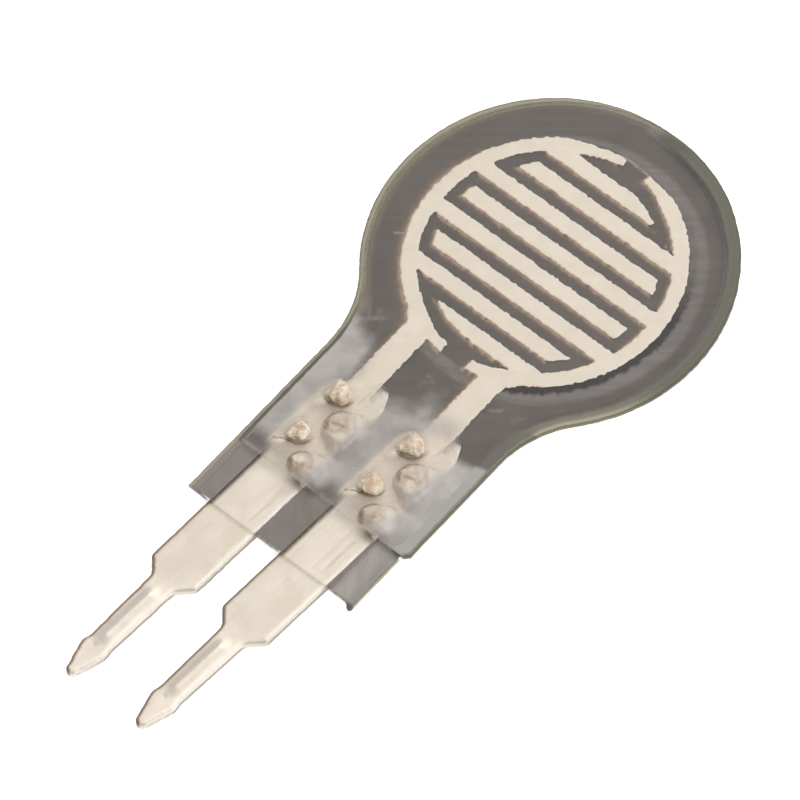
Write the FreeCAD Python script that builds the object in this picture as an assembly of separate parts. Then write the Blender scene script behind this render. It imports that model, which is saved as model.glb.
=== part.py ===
# Force sensing resistor: a round, flat membrane sensor with a short tail and two crimped pin contacts.
# Units are millimetres. Origin: centre of the active ring, on the flat rear face of the laminate.
# +Y runs from the tail towards the top of the round head, +Z is the sensing side, +X is right as seen from above.
# The laminate is flat. From the rear: rear film, printed sensing ink, spacer adhesive, silver electrodes, front film.
# The two contacts lie under the rear film. Their claws go up through slits in every layer and curl over onto the front film.
import FreeCAD, Part
import math
import os

V = FreeCAD.Vector

# ---- driving dimensions ----
FILM_T = 0.125          # each polyester film
INK_T = 0.015           # printed resistive ink on the rear film's inner face
SPACER_T = 0.060        # adhesive between the films, with the electrodes let into its top
TRACE_T = 0.020         # printed silver

HEAD_R = 4.97           # round head of both films
TAIL_HALF = 2.875       # half width of the tail
NECK_R = 3.30           # concave radius between head and tail
REAR_C = (-0.035, 0.12)   # centre of the rear film's head: the two films are cut a little out of register
FRONT_C = (0.23, 0.045)   # centre of the front film's head
REAR_END = -10.90       # tail end of the rear film
FRONT_END = -9.08       # tail end of the front film, short of the rear film's
FRONT_CORNER = 0.14     # cut corner at the right of the front film's end
SEAM_Y = -4.60          # the flat mounting zone of the head ends here

INK_C = (0.10, 0.09)
INK_R = 4.84
INK_TAIL_HALF = 2.72
INK_NECK_R = 3.40
INK_END = -10.88
WINDOW_GAP = 0.0        # the ink leaves a window of the contact's own outline
WINDOW_SHIFT = (0.05, -0.04)   # the print is a little out of register with the contacts

OPEN_C = (0.30, 0.0)    # opening in the spacer
OPEN_R = 4.10

RING_R = 3.81
RING_IN = 3.39
GAP_TOP = (-0.29, 0.46)   # ends of the two half rings, above
GAP_BOTTOM = (-0.33, 0.46)  # and below
FINGERS = 8
FINGER_PITCH = 0.8065
FINGER_TOP = 3.014      # upper edge of the first finger
FINGER_W = 0.448
FREE_R = 3.05           # free ends of the fingers lie on this circle
LEAD_X = 1.27           # half of the 2.54 lead pitch
LEAD_HALF = 0.382
LEAD_END = -8.96
PAD_TOP = -6.25         # the lead widens into a pad under the claws
PAD_HALF = 0.80

METAL_T = 0.20          # contact sheet thickness
PLATE_HALF = 0.83       # contact plate and tab
CONTACT_FRONT = 2.63    # front end of the plate, above the contact's own origin
NOSE = (0.30, 0.56)     # chamfer at each front corner
SHOULDER = -5.02        # end of the full-width tab
PIN_TOP = -5.47
PIN_HALF_TOP = 0.42
PIN_HALF_END = 0.375
SPEAR = -8.02           # widest point of the pointed end
SPEAR_HALF = 0.43
TIP = -8.96
TIP_R = 0.20
RIB_FROM, RIB_TO = -5.62, -7.78
RIB_H, RIB_HALF = 0.10, 0.24

# each contact: a point on its centre line and its small lean in the plane
CONTACTS = {"contact_left": (-1.30, -8.0, 2.7), "contact_right": (1.20, -8.0, 3.2)}

# claws, in the contact's own frame: side, foot, centre along the contact
CLAW_LEN = 0.62
CLAW_R = 0.32           # outer radius of the curl
CLAW_T = 0.15
CLAWS = [(-1, -0.52, 1.50), (-1, -0.52, -0.02), (1, 0.82, 0.78), (1, 0.82, -0.72)]

Z_REAR = 0.0
Z_INK = Z_REAR + FILM_T
Z_SPACER = Z_INK + INK_T
Z_FRONT = Z_SPACER + SPACER_T
Z_TOP = Z_FRONT + FILM_T
Z_TRACE = Z_FRONT - TRACE_T


def arc(p, q, r):
    return Part.Arc(V(*p, 0), V(*q, 0), V(*r, 0)).toShape()


def line(p, q):
    return Part.LineSegment(V(*p, 0), V(*q, 0)).toShape()


def polygon(points):
    return Part.Face(Part.makePolygon([V(x, y, 0) for x, y in points] + [V(*points[0], 0)]))


def keyhole(c, head, half, neck, end, corner=0.0):
    """Face of a round head with a concave neck into a straight tail."""
    yc = -math.sqrt((head + neck) ** 2 - (half + neck) ** 2)
    k = head / (head + neck)
    cx, cy = c
    tl = (cx - (half + neck) * k, cy + yc * k)
    tr = (cx + (half + neck) * k, cy + yc * k)
    nl, nr = (cx - half, cy + yc), (cx + half, cy + yc)
    # half way between the direction to the head's centre and the direction to the tail's side
    h = 0.5 * math.atan2(-yc, half + neck)
    ml = (cx - half - neck + neck * math.cos(h), cy + yc + neck * math.sin(h))
    mr = (cx + half + neck - neck * math.cos(h), cy + yc + neck * math.sin(h))
    edges = [
        arc(tr, (cx, cy + head), tl),
        arc(tl, ml, nl),
        line(nl, (cx - half, end)),
        line((cx - half, end), (cx + half - corner, end)),
    ]
    if corner:
        edges.append(line((cx + half - corner, end), (cx + half, end + corner)))
    edges += [line((cx + half, end + corner), nr), arc(nr, mr, tr)]
    return Part.Face(Part.Wire(edges))


def prism(face, z, t):
    f = face.copy()
    f.translate(V(0, 0, z))
    return f.extrude(V(0, 0, t))


def disc(c, r):
    return Part.Face(Part.Wire([Part.makeCircle(r, V(c[0], c[1], 0))]))


def film(face, z, t):
    """A film whose faces carry a seam between the head and the tail."""
    big = 40.0
    head = Part.makeBox(big, big, 2, V(-big / 2, SEAM_Y, -1))
    tail = Part.makeBox(big, big, 2, V(-big / 2, SEAM_Y - big, -1))
    p = prism(face, z, t)
    return p.common(head).fuse(p.common(tail))


def one(shape):
    """The single solid of a shape."""
    s = shape.Solids
    assert len(s) == 1, len(s)
    return s[0]


# ---- contacts ----
def place(shape, cx, cy, lean):
    s = shape.copy()
    s.rotate(V(0, 0, 0), V(0, 0, 1), -lean)
    s.translate(V(cx, cy, 0))
    return s


def contact_outline(extra=0.0):
    """Plan outline of the plate, tab, pin and pointed end."""
    h = PLATE_HALF + extra
    f = CONTACT_FRONT + extra
    nx, ny = NOSE
    side = [
        (h - nx, f),
        (h, f - ny),
        (h, SHOULDER),
        (PIN_HALF_TOP + 0.03, PIN_TOP + 0.06),
        (PIN_HALF_TOP, PIN_TOP - 0.06),
        (PIN_HALF_END, SPEAR + 0.30),
        (SPEAR_HALF, SPEAR + 0.02),
        (SPEAR_HALF - 0.02, SPEAR - 0.06),
    ]
    a = math.atan2(SPEAR - 0.06 - TIP - TIP_R, SPEAR_HALF - 0.02 - TIP_R)
    tip = [(TIP_R * math.cos(t), TIP + TIP_R + TIP_R * math.sin(t)) for t in [-0.08, -0.4, -0.8, -1.2]]
    right = side + tip
    left = [(-x, y) for x, y in reversed(right)]
    return polygon(right + [(0.0, TIP)] + left)


def claw(side, foot, at):
    """A claw that rises from the plate and curls over: profile in XZ, extruded along Y, rounded in plan."""
    s = -side                                   # the curl goes towards the plate's middle
    ro, ri = CLAW_R, CLAW_R - CLAW_T
    zc = Z_TOP + 0.085                          # centre height of the curl
    xc = foot + s * ro
    top_a = math.pi / 2
    end = math.radians(-38)                     # the curl ends here, dug down on the film

    def pt(r, a):
        return V(xc + s * r * math.cos(a), 0, zc + r * math.sin(a))

    edges = []
    p0 = V(foot, 0, -METAL_T)
    p1 = V(foot, 0, zc)
    edges.append(Part.LineSegment(p0, p1).toShape())
    edges.append(Part.Arc(pt(ro, math.pi), pt(ro, top_a), pt(ro, end)).toShape())
    tip = pt(ri + 0.03, end - 0.02)
    edges.append(Part.LineSegment(pt(ro, end), tip).toShape())
    inner_end = end + 0.35
    edges.append(Part.LineSegment(tip, pt(ri, inner_end)).toShape())
    edges.append(Part.Arc(pt(ri, inner_end), pt(ri, top_a), pt(ri, math.pi)).toShape())
    q1 = V(foot + s * CLAW_T, 0, -METAL_T)
    edges.append(Part.LineSegment(pt(ri, math.pi), q1).toShape())
    edges.append(Part.LineSegment(q1, p0).toShape())
    profile = Part.Face(Part.Wire(edges))
    profile.translate(V(0, at - CLAW_LEN / 2, 0))
    body = profile.extrude(V(0, CLAW_LEN, 0))
    # the curl narrows to a blunt tip, so it is round seen from above
    h = CLAW_LEN / 2
    e = Part.Ellipse(V(0, 0, 0), ro * 1.22, h) if ro * 1.22 >= h else Part.Ellipse(V(0, 0, 0), h, ro * 1.22)
    rounding = Part.Face(Part.Wire([e.toShape()])).extrude(V(0, 0, 3))
    if ro * 1.22 < h:
        rounding.rotate(V(0, 0, 0), V(0, 0, 1), 90)
    rounding.translate(V(foot + s * ro * 0.88, at, Z_TOP))
    low = Part.makeBox(6, 6, Z_TOP + METAL_T + 1, V(-3, at - 3, -METAL_T - 1))
    upper = body.cut(low).common(rounding)
    lower = body.common(low)
    return lower, upper


def make_contact():
    """Contact in its own frame: (whole solid, the claws' feet that go through the laminate)."""
    plate = prism(contact_outline(), -METAL_T, METAL_T)
    # notches beside the left-hand claws, which stand a little in from the plate's side
    for side, foot, at in CLAWS:
        if abs(foot) < PLATE_HALF - 0.05:
            w = PLATE_HALF - abs(foot) + 0.2
            x0 = foot if side > 0 else foot - w
            plate = plate.cut(Part.makeBox(w, CLAW_LEN + 0.10, 1, V(x0, at - CLAW_LEN / 2 - 0.05, -0.7)))
    # half-round rib pressed up along the pin, with its groove below
    rho = (RIB_HALF**2 + RIB_H**2) / (2 * RIB_H)
    zc = RIB_H - rho
    length = RIB_FROM - RIB_TO - 2 * RIB_HALF

    def capsule(r):
        y0, y1 = RIB_TO + RIB_HALF, RIB_FROM - RIB_HALF
        c = Part.makeCylinder(r, y1 - y0, V(0, y0, zc), V(0, 1, 0))
        return c.fuse([Part.makeSphere(r, V(0, y0, zc)), Part.makeSphere(r, V(0, y1, zc))])

    above = Part.makeBox(2, 6, 1, V(-1, -10, -METAL_T / 2))
    plate = plate.fuse(capsule(rho).common(above)).cut(capsule(rho - METAL_T))
    whole = plate
    feet = None
    for side, foot, at in CLAWS:
        lower, upper = claw(side, foot, at)
        whole = whole.fuse([lower, upper])
        feet = lower if feet is None else feet.fuse(lower)
    return one(whole.removeSplitter()), feet


contact, feet = make_contact()
contacts = {n: place(contact, *c) for n, c in CONTACTS.items()}
all_feet = [place(feet, *c) for c in CONTACTS.values()]


def slit(shape):
    for f in all_feet:
        shape = shape.cut(f)
    return shape


# ---- electrodes: two combs whose fingers lie between each other ----
def half_ring(side):
    ring = disc((0, 0), RING_R).cut(disc((0, 0), RING_IN))
    i = 0 if side < 0 else 1
    x_top, x_bot = GAP_TOP[i], GAP_BOTTOM[i]
    b = 10.0 * side
    region = polygon([(x_top, 10), (x_top, 0), (x_bot, 0), (x_bot, -10), (b, -10), (b, 10)])
    return ring.common(region)


def comb(side):
    parts = [half_ring(side)]
    for i in range(FINGERS):
        own = -1 if i % 2 == 0 else 1
        if own != side:
            continue
        y1 = FINGER_TOP - i * FINGER_PITCH
        y0 = y1 - FINGER_W
        far = math.sqrt((RING_R - 0.12) ** 2 - max(abs(y0), abs(y1)) ** 2)
        root = polygon([(0, y0), (0, y1), (side * far, y1), (side * far, y0)])
        free = polygon([(0, y0), (0, y1), (-side * 4, y1), (-side * 4, y0)])
        parts += [root.common(disc((0, 0), RING_R - 0.02)), free.common(disc((0, 0), FREE_R))]
    x0, x1 = side * LEAD_X - LEAD_HALF, side * LEAD_X + LEAD_HALF
    top = -3.30
    parts.append(polygon([(x0, top), (x1, top), (x1, LEAD_END), (x0, LEAD_END)]))
    out = side * (LEAD_X + LEAD_HALF)
    parts.append(polygon([(out - side * 0.3, -3.2), (side * 2.06, -3.17), (out, -3.60), (out - side * 0.3, -3.60)]))
    solid = None
    for f in parts:
        p = prism(f, Z_TRACE, TRACE_T)
        solid = p if solid is None else solid.fuse(p)
    return solid


def pad(name):
    cx, cy, lean = CONTACTS[name]
    y1, y0 = PAD_TOP - cy, LEAD_END - cy
    f = polygon([(-PAD_HALF, y1 - 0.3), (-PAD_HALF + 0.3, y1), (PAD_HALF - 0.3, y1), (PAD_HALF, y1 - 0.3), (PAD_HALF, y0), (-PAD_HALF, y0)])
    return place(prism(f, Z_TRACE, TRACE_T), cx, cy, lean)


electrode_left = one(slit(comb(-1).fuse(pad("contact_left"))).removeSplitter())
electrode_right = one(slit(comb(1).fuse(pad("contact_right"))).removeSplitter())

# ---- films, ink and spacer ----
rear_face = keyhole(REAR_C, HEAD_R, TAIL_HALF, NECK_R, REAR_END)
front_face = keyhole(FRONT_C, HEAD_R, TAIL_HALF, NECK_R, FRONT_END, FRONT_CORNER)
ink_face = keyhole(INK_C, INK_R, INK_TAIL_HALF, INK_NECK_R, INK_END)

rear_film = one(slit(film(rear_face, Z_REAR, FILM_T)))
front_film = one(slit(film(front_face, Z_FRONT, FILM_T)))

windows = [place(prism(contact_outline(WINDOW_GAP), Z_INK - 0.5, 1.0), *c) for c in CONTACTS.values()]
ink = prism(ink_face, Z_INK, INK_T)
for w in windows:
    w.translate(V(*WINDOW_SHIFT, 0))
    ink = ink.cut(w)
sensing_ink = ink

spacer = prism(front_face, Z_SPACER, SPACER_T).cut(prism(disc(OPEN_C, OPEN_R), Z_SPACER - 0.1, 1.0))
spacer = slit(spacer).cut(electrode_left).cut(electrode_right)

NODES = {
    "rear_film": rear_film,
    "sensing_ink": sensing_ink,
    "spacer_adhesive": spacer,
    "electrode_left": electrode_left,
    "electrode_right": electrode_right,
    "front_film": front_film,
    "contact_left": one(contacts["contact_left"]),
    "contact_right": one(contacts["contact_right"]),
}

os.makedirs("parts", exist_ok=True)
for name, shape in NODES.items():
    b = shape.BoundBox
    print(name, "solids", len(shape.Solids), "valid", shape.isValid(), "volume %.4f" % shape.Volume,
          "box %.3f %.3f %.3f  %.3f %.3f %.3f" % (b.XMin, b.YMin, b.ZMin, b.XMax, b.YMax, b.ZMax))
    shape.exportStep("parts/%s.step" % name)
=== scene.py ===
import bpy
import math
import numpy as np
from mathutils import Vector, Matrix
from mathutils.geometry import delaunay_2d_cdt


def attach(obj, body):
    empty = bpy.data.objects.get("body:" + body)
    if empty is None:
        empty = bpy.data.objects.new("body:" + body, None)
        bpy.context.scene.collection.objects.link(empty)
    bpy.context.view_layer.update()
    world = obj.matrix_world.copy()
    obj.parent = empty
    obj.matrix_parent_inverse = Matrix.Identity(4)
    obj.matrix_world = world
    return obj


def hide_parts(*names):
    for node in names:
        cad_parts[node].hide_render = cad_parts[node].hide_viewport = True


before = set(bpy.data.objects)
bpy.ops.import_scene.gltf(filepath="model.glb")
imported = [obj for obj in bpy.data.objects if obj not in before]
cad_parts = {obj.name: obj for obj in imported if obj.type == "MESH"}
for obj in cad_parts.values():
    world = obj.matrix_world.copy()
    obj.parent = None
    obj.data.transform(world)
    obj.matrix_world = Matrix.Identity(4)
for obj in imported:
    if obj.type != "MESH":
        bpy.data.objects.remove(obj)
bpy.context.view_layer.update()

MM = 0.001
scene = bpy.context.scene
scene.view_settings.view_transform = "Standard"
scene.view_settings.look = "None"
scene.view_settings.exposure = 0.0
scene.view_settings.gamma = 1.0
scene.cycles.transparent_max_bounces = 32      # two films and the adhesive lie over one another

# ------------------------------------------------------------------ sizes, in mm, as the frame has them
FILM_T, INK_T, SPACER_T, TRACE_T, METAL_T = 0.125, 0.015, 0.060, 0.020, 0.20
Z_INK = FILM_T
Z_SPACER = Z_INK + INK_T
Z_FRONT = Z_SPACER + SPACER_T
Z_TOP = Z_FRONT + FILM_T
HEAD_R, TAIL_HALF, NECK_R = 4.97, 2.875, 3.30
REAR_C, FRONT_C = (-0.035, 0.12), (0.23, 0.045)
REAR_END, FRONT_END, FRONT_CORNER = -10.90, -9.08, 0.14
INK_C, INK_R, INK_TAIL_HALF, INK_NECK_R, INK_END = (0.10, 0.09), 4.84, 2.72, 3.40, -10.88
WINDOW_SHIFT = (0.07, -0.05)
OPEN_C, OPEN_R = (0.30, 0.0), 4.10
RING_R, RING_IN, FREE_R = 3.81, 3.39, 3.05
CONTACTS = {"left": (-1.30, -8.0, 2.7), "right": (1.20, -8.0, 3.2)}
CLAWS = [(-1, -0.52, 1.50), (-1, -0.52, -0.02), (1, 0.82, 0.78), (1, 0.82, -0.72)]
CLAW_LEN = 0.62
ACROSS = (0.783, 0.622)       # plan directions used for marks that run across the sensor, and
ALONG = (-0.660, 0.751)       # square to those


# ------------------------------------------------------------------ noise and distances
def _hash(ix, iy, seed):
    n = (ix.astype(np.int64) * 374761393 + iy.astype(np.int64) * 668265263 + seed * 974634777) & 0xFFFFFFFF
    n = ((n ^ (n >> 13)) * 1274126177) & 0xFFFFFFFF
    n = n ^ (n >> 16)
    return (n & 0xFFFF) / 65535.0


def vnoise(x, y, seed=1):
    """Smooth noise from -1 to 1 on plan coordinates."""
    x, y = np.asarray(x, float), np.asarray(y, float)
    ix, iy = np.floor(x), np.floor(y)
    fx, fy = x - ix, y - iy
    fx, fy = fx * fx * fx * (fx * (fx * 6 - 15) + 10), fy * fy * fy * (fy * (fy * 6 - 15) + 10)
    a, b = _hash(ix, iy, seed), _hash(ix + 1, iy, seed)
    c, d = _hash(ix, iy + 1, seed), _hash(ix + 1, iy + 1, seed)
    return 2 * ((a * (1 - fx) + b * fx) * (1 - fy) + (c * (1 - fx) + d * fx) * fy) - 1


def fbm(x, y, seed=1, octaves=3):
    s, amp, tot = 0.0, 1.0, 0.0
    for o in range(octaves):
        s = s + amp * vnoise(x * 2**o + 17.3 * o, y * 2**o - 9.1 * o, seed + o)
        tot += amp
        amp *= 0.5
    return s / tot


def smooth(e0, e1, x):
    t = np.clip((np.asarray(x, float) - e0) / (e1 - e0), 0, 1)
    return t * t * (3 - 2 * t)


def sd_box(x, y, x0, x1, y0, y1):
    qx = np.abs(x - 0.5 * (x0 + x1)) - 0.5 * (x1 - x0)
    qy = np.abs(y - 0.5 * (y0 + y1)) - 0.5 * (y1 - y0)
    return np.hypot(np.maximum(qx, 0), np.maximum(qy, 0)) + np.minimum(np.maximum(qx, qy), 0)


def seg_dist(x, y, pts, closed=True):
    """Distance to a polyline."""
    p = np.asarray(pts, float)
    q = np.roll(p, -1, axis=0) if closed else p[1:]
    p = p if closed else p[:-1]
    x, y = np.asarray(x, float), np.asarray(y, float)
    best = np.full(x.shape, 1e9)
    for (ax, ay), (bx, by) in zip(p, q):
        dx, dy = bx - ax, by - ay
        l2 = dx * dx + dy * dy
        if l2 < 1e-14:
            continue
        t = np.clip(((x - ax) * dx + (y - ay) * dy) / l2, 0, 1)
        best = np.minimum(best, (x - ax - t * dx) ** 2 + (y - ay - t * dy) ** 2)
    return np.sqrt(best)


def inside(x, y, pts):
    p = np.asarray(pts, float)
    q = np.roll(p, -1, axis=0)
    c = np.zeros(np.shape(x), bool)
    for (ax, ay), (bx, by) in zip(p, q):
        if ay == by:
            continue
        hit = ((ay > y) != (by > y)) & (x < (bx - ax) * (y - ay) / (by - ay) + ax)
        c ^= hit
    return c


# ------------------------------------------------------------------ outlines
def arc_pts(c, r, a0, a1, step):
    n = max(3, int(abs(a1 - a0) * r / step))
    return [(c[0] + r * math.cos(a0 + (a1 - a0) * i / n), c[1] + r * math.sin(a0 + (a1 - a0) * i / n)) for i in range(n)]


def line_pts(p, q, step):
    n = max(1, int(math.hypot(q[0] - p[0], q[1] - p[1]) / step))
    return [(p[0] + (q[0] - p[0]) * i / n, p[1] + (q[1] - p[1]) * i / n) for i in range(n)]


def keyhole(c, head, half, neck, end, step, corner_l=0.0, corner_r=0.0):
    """Round head, concave neck, straight tail: counter-clockwise from the right of the neck."""
    yc = -math.sqrt((head + neck) ** 2 - (half + neck) ** 2)
    a = math.atan2(-yc, half + neck)
    cx, cy = c
    pts = arc_pts(c, head, -a, math.pi + a, step)
    pts += arc_pts((cx - half - neck, cy + yc), neck, a, 0.0, step)
    pts += line_pts((cx - half, cy + yc), (cx - half, end + corner_l), step)
    if corner_l:
        pts += line_pts((cx - half, end + corner_l), (cx - half + corner_l, end), step)
    pts += line_pts((cx - half + corner_l, end), (cx + half - corner_r, end), step)
    if corner_r:
        pts += line_pts((cx + half - corner_r, end), (cx + half, end + corner_r), step)
    pts += line_pts((cx + half, end + corner_r), (cx + half, cy + yc), step)
    pts += arc_pts((cx + half + neck, cy + yc), neck, math.pi, math.pi - a, step)
    return np.array(pts)


def roughen(pts, amp, freq, seed):
    """Moves the points of a closed outline a little along its normals, so that the cut edge is not perfect."""
    p = np.asarray(pts, float)
    t = np.roll(p, -1, axis=0) - np.roll(p, 1, axis=0)
    t /= np.maximum(np.linalg.norm(t, axis=1, keepdims=True), 1e-9)
    n = np.c_[t[:, 1], -t[:, 0]]
    s = np.r_[0, np.cumsum(np.linalg.norm(np.diff(p, axis=0), axis=1))]
    d = amp * (0.6 * vnoise(s * freq, s * 0 + seed, seed) + 0.4 * vnoise(s * freq * 3.1, s * 0 - seed, seed + 5))
    fade = smooth(0, 0.3, np.minimum(s, s[-1] - s))
    return p - n * np.abs(d * fade)[:, None]      # only ever inwards, so the piece keeps its size


def place(p, contact):
    """From a contact's own frame to the sensor's."""
    cx, cy, lean = contact
    a = -math.radians(lean)
    p = np.asarray(p, float)
    x = cx + p[..., 0] * math.cos(a) - p[..., 1] * math.sin(a)
    y = cy + p[..., 0] * math.sin(a) + p[..., 1] * math.cos(a)
    return np.stack([x, y], -1)


def unplace(x, y, contact):
    cx, cy, lean = contact
    a = math.radians(lean)
    u = (x - cx) * math.cos(a) - (y - cy) * math.sin(a)
    v = (x - cx) * math.sin(a) + (y - cy) * math.cos(a)
    return u, v


# ------------------------------------------------------------------ contours of a distance field
def contours(F, x0, y0, h):
    """Closed loops where the grid F (rows y, columns x) crosses zero, inside negative."""
    ny, nx = F.shape
    neg = F < 0
    links = {}

    def cut(kind, i, j):
        if kind == 0:
            a, b = F[i, j], F[i, j + 1]
            return (x0 + h * (j + a / (a - b)), y0 + h * i)
        a, b = F[i, j], F[i + 1, j]
        return (x0 + h * j, y0 + h * (i + a / (a - b)))

    code = neg[:-1, :-1] * 1 + neg[:-1, 1:] * 2 + neg[1:, 1:] * 4 + neg[1:, :-1] * 8
    table = {1: [(3, 0)], 2: [(0, 1)], 3: [(3, 1)], 4: [(1, 2)], 5: [(3, 2), (1, 0)], 6: [(0, 2)], 7: [(3, 2)],
             8: [(2, 3)], 9: [(2, 0)], 10: [(0, 3), (2, 1)], 11: [(2, 1)], 12: [(1, 3)], 13: [(1, 0)], 14: [(0, 3)]}
    for i, j in zip(*np.nonzero((code > 0) & (code < 15))):
        i, j = int(i), int(j)
        edge = {0: (0, i, j), 1: (1, i, j + 1), 2: (0, i + 1, j), 3: (1, i, j)}
        for a, b in table[int(code[i, j])]:
            links[edge[a]] = edge[b]
    loops = []
    while links:
        start, nxt = next(iter(links.items()))
        loop, at = [], start
        while at in links:
            loop.append(cut(*at))
            at = links.pop(at)
        if len(loop) > 8:
            loops.append(np.array(loop))
    return loops


def thin(loop, least):
    """Drops points that crowd together."""
    keep, last = [loop[0]], loop[0]
    for p in loop[1:]:
        if math.hypot(p[0] - last[0], p[1] - last[1]) >= least:
            keep.append(p)
            last = p
    if math.hypot(keep[0][0] - keep[-1][0], keep[0][1] - keep[-1][1]) < least:
        keep.pop()
    return np.array(keep)


# ------------------------------------------------------------------ plates: a plan outline with height functions
def plate_mesh(name, loops, grid, z_top, z_bot, rings=(), attrs=None, below=None):
    """A closed slab. loops: outlines (outer and holes, each a closed list of points). grid: extra plan points.
    z_top(x, y, d) and z_bot(x, y, d) give heights in mm, where d is the distance to the nearest outline."""
    pts, edges = [], []
    for lp in loops:
        n0 = len(pts)
        pts += [tuple(p) for p in lp]
        n = len(lp)
        edges += [(n0 + i, n0 + (i + 1) % n) for i in range(n)]
    n_edge_pts = len(pts)
    extra = []
    if len(grid):
        g = np.asarray(grid, float)
        ok = np.zeros(len(g), bool)
        for lp in loops:
            ok ^= inside(g[:, 0], g[:, 1], lp)
        g = g[ok]
        extra = [tuple(p) for p in g]
    for r in rings:
        for lp in loops:
            p = np.asarray(lp, float)
            t = np.roll(p, -1, axis=0) - np.roll(p, 1, axis=0)
            t /= np.maximum(np.linalg.norm(t, axis=1, keepdims=True), 1e-9)
            nrm = np.c_[-t[:, 1], t[:, 0]]
            area = 0.5 * np.sum(p[:, 0] * np.roll(p[:, 1], -1) - np.roll(p[:, 0], -1) * p[:, 1])
            hole = lp is not loops[0]
            sgn = (1 if area > 0 else -1) * (-1 if hole else 1)
            q = p + nrm * r * sgn
            extra += [tuple(v) for v in q]
    verts = [Vector(p) for p in pts] + [Vector(p) for p in extra]
    out = delaunay_2d_cdt(verts, edges, [], 0, 1e-5)
    co = np.array([(v[0], v[1]) for v in out[0]])
    tri = np.array([f for f in out[2] if len(f) == 3], dtype=np.int64)
    cen = co[tri].mean(axis=1)
    ok = np.zeros(len(tri), bool)
    for lp in loops:
        ok ^= inside(cen[:, 0], cen[:, 1], lp)
    tri = tri[ok]
    a, b, c = co[tri[:, 0]], co[tri[:, 1]], co[tri[:, 2]]
    area = (b[:, 0] - a[:, 0]) * (c[:, 1] - a[:, 1]) - (b[:, 1] - a[:, 1]) * (c[:, 0] - a[:, 0])
    tri[area < 0] = tri[area < 0][:, ::-1]
    used = np.unique(tri)
    remap = -np.ones(len(co), np.int64)
    remap[used] = np.arange(len(used))
    co, tri = co[used], remap[tri]
    d = np.full(len(co), 1e9)
    for lp in loops:
        d = np.minimum(d, seg_dist(co[:, 0], co[:, 1], lp))
    n = len(co)
    zt, zb = z_top(co[:, 0], co[:, 1], d), z_bot(co[:, 0], co[:, 1], d)
    V = np.r_[np.c_[co, zt], np.c_[co, zb]] * MM
    # boundary edges: those used once
    e = np.r_[tri[:, [0, 1]], tri[:, [1, 2]], tri[:, [2, 0]]]
    key = np.sort(e, axis=1)
    _, idx, cnt = np.unique(key, axis=0, return_index=True, return_counts=True)
    rim = e[idx[cnt == 1]]
    faces = tri.tolist() + (tri[:, ::-1] + n).tolist() + [[int(j), int(i), int(i) + n, int(j) + n] for i, j in rim]
    me = bpy.data.meshes.new(name)
    me.from_pydata(V.tolist(), [], faces)
    me.validate()
    me.update()
    for k, f in (attrs or {}).items():
        v = f(co[:, 0], co[:, 1], d) + 0 * d
        at = me.attributes.new(k, "FLOAT", "POINT")
        at.data.foreach_set("value", np.r_[v, v * (below or {}).get(k, 1.0)].astype(np.float32))
    ob = bpy.data.objects.new(name, me)
    scene.collection.objects.link(ob)
    return ob


def mesh_object(name, verts, faces, smooth_shade=True):
    me = bpy.data.meshes.new(name)
    me.from_pydata([tuple(v) for v in verts], [], [tuple(f) for f in faces])
    me.validate()
    me.update()
    if smooth_shade:
        me.shade_smooth()
    ob = bpy.data.objects.new(name, me)
    scene.collection.objects.link(ob)
    return ob


def shade(ob, angle=35):
    ob.data.shade_smooth()
    ob.data.set_sharp_from_angle(angle=math.radians(angle))


def grid_pts(x0, x1, y0, y1, h, seed, jitter=0.25):
    nx, ny = int((x1 - x0) / h) + 1, int((y1 - y0) / h) + 1
    X, Y = np.meshgrid(np.linspace(x0, x1, nx), np.linspace(y0, y1, ny))
    X = X + (np.arange(ny) % 2)[:, None] * h * 0.5
    rng = np.random.default_rng(seed)
    X = X + rng.uniform(-jitter, jitter, X.shape) * h
    Y = Y + rng.uniform(-jitter, jitter, Y.shape) * h
    return np.c_[X.ravel(), Y.ravel()]


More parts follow.
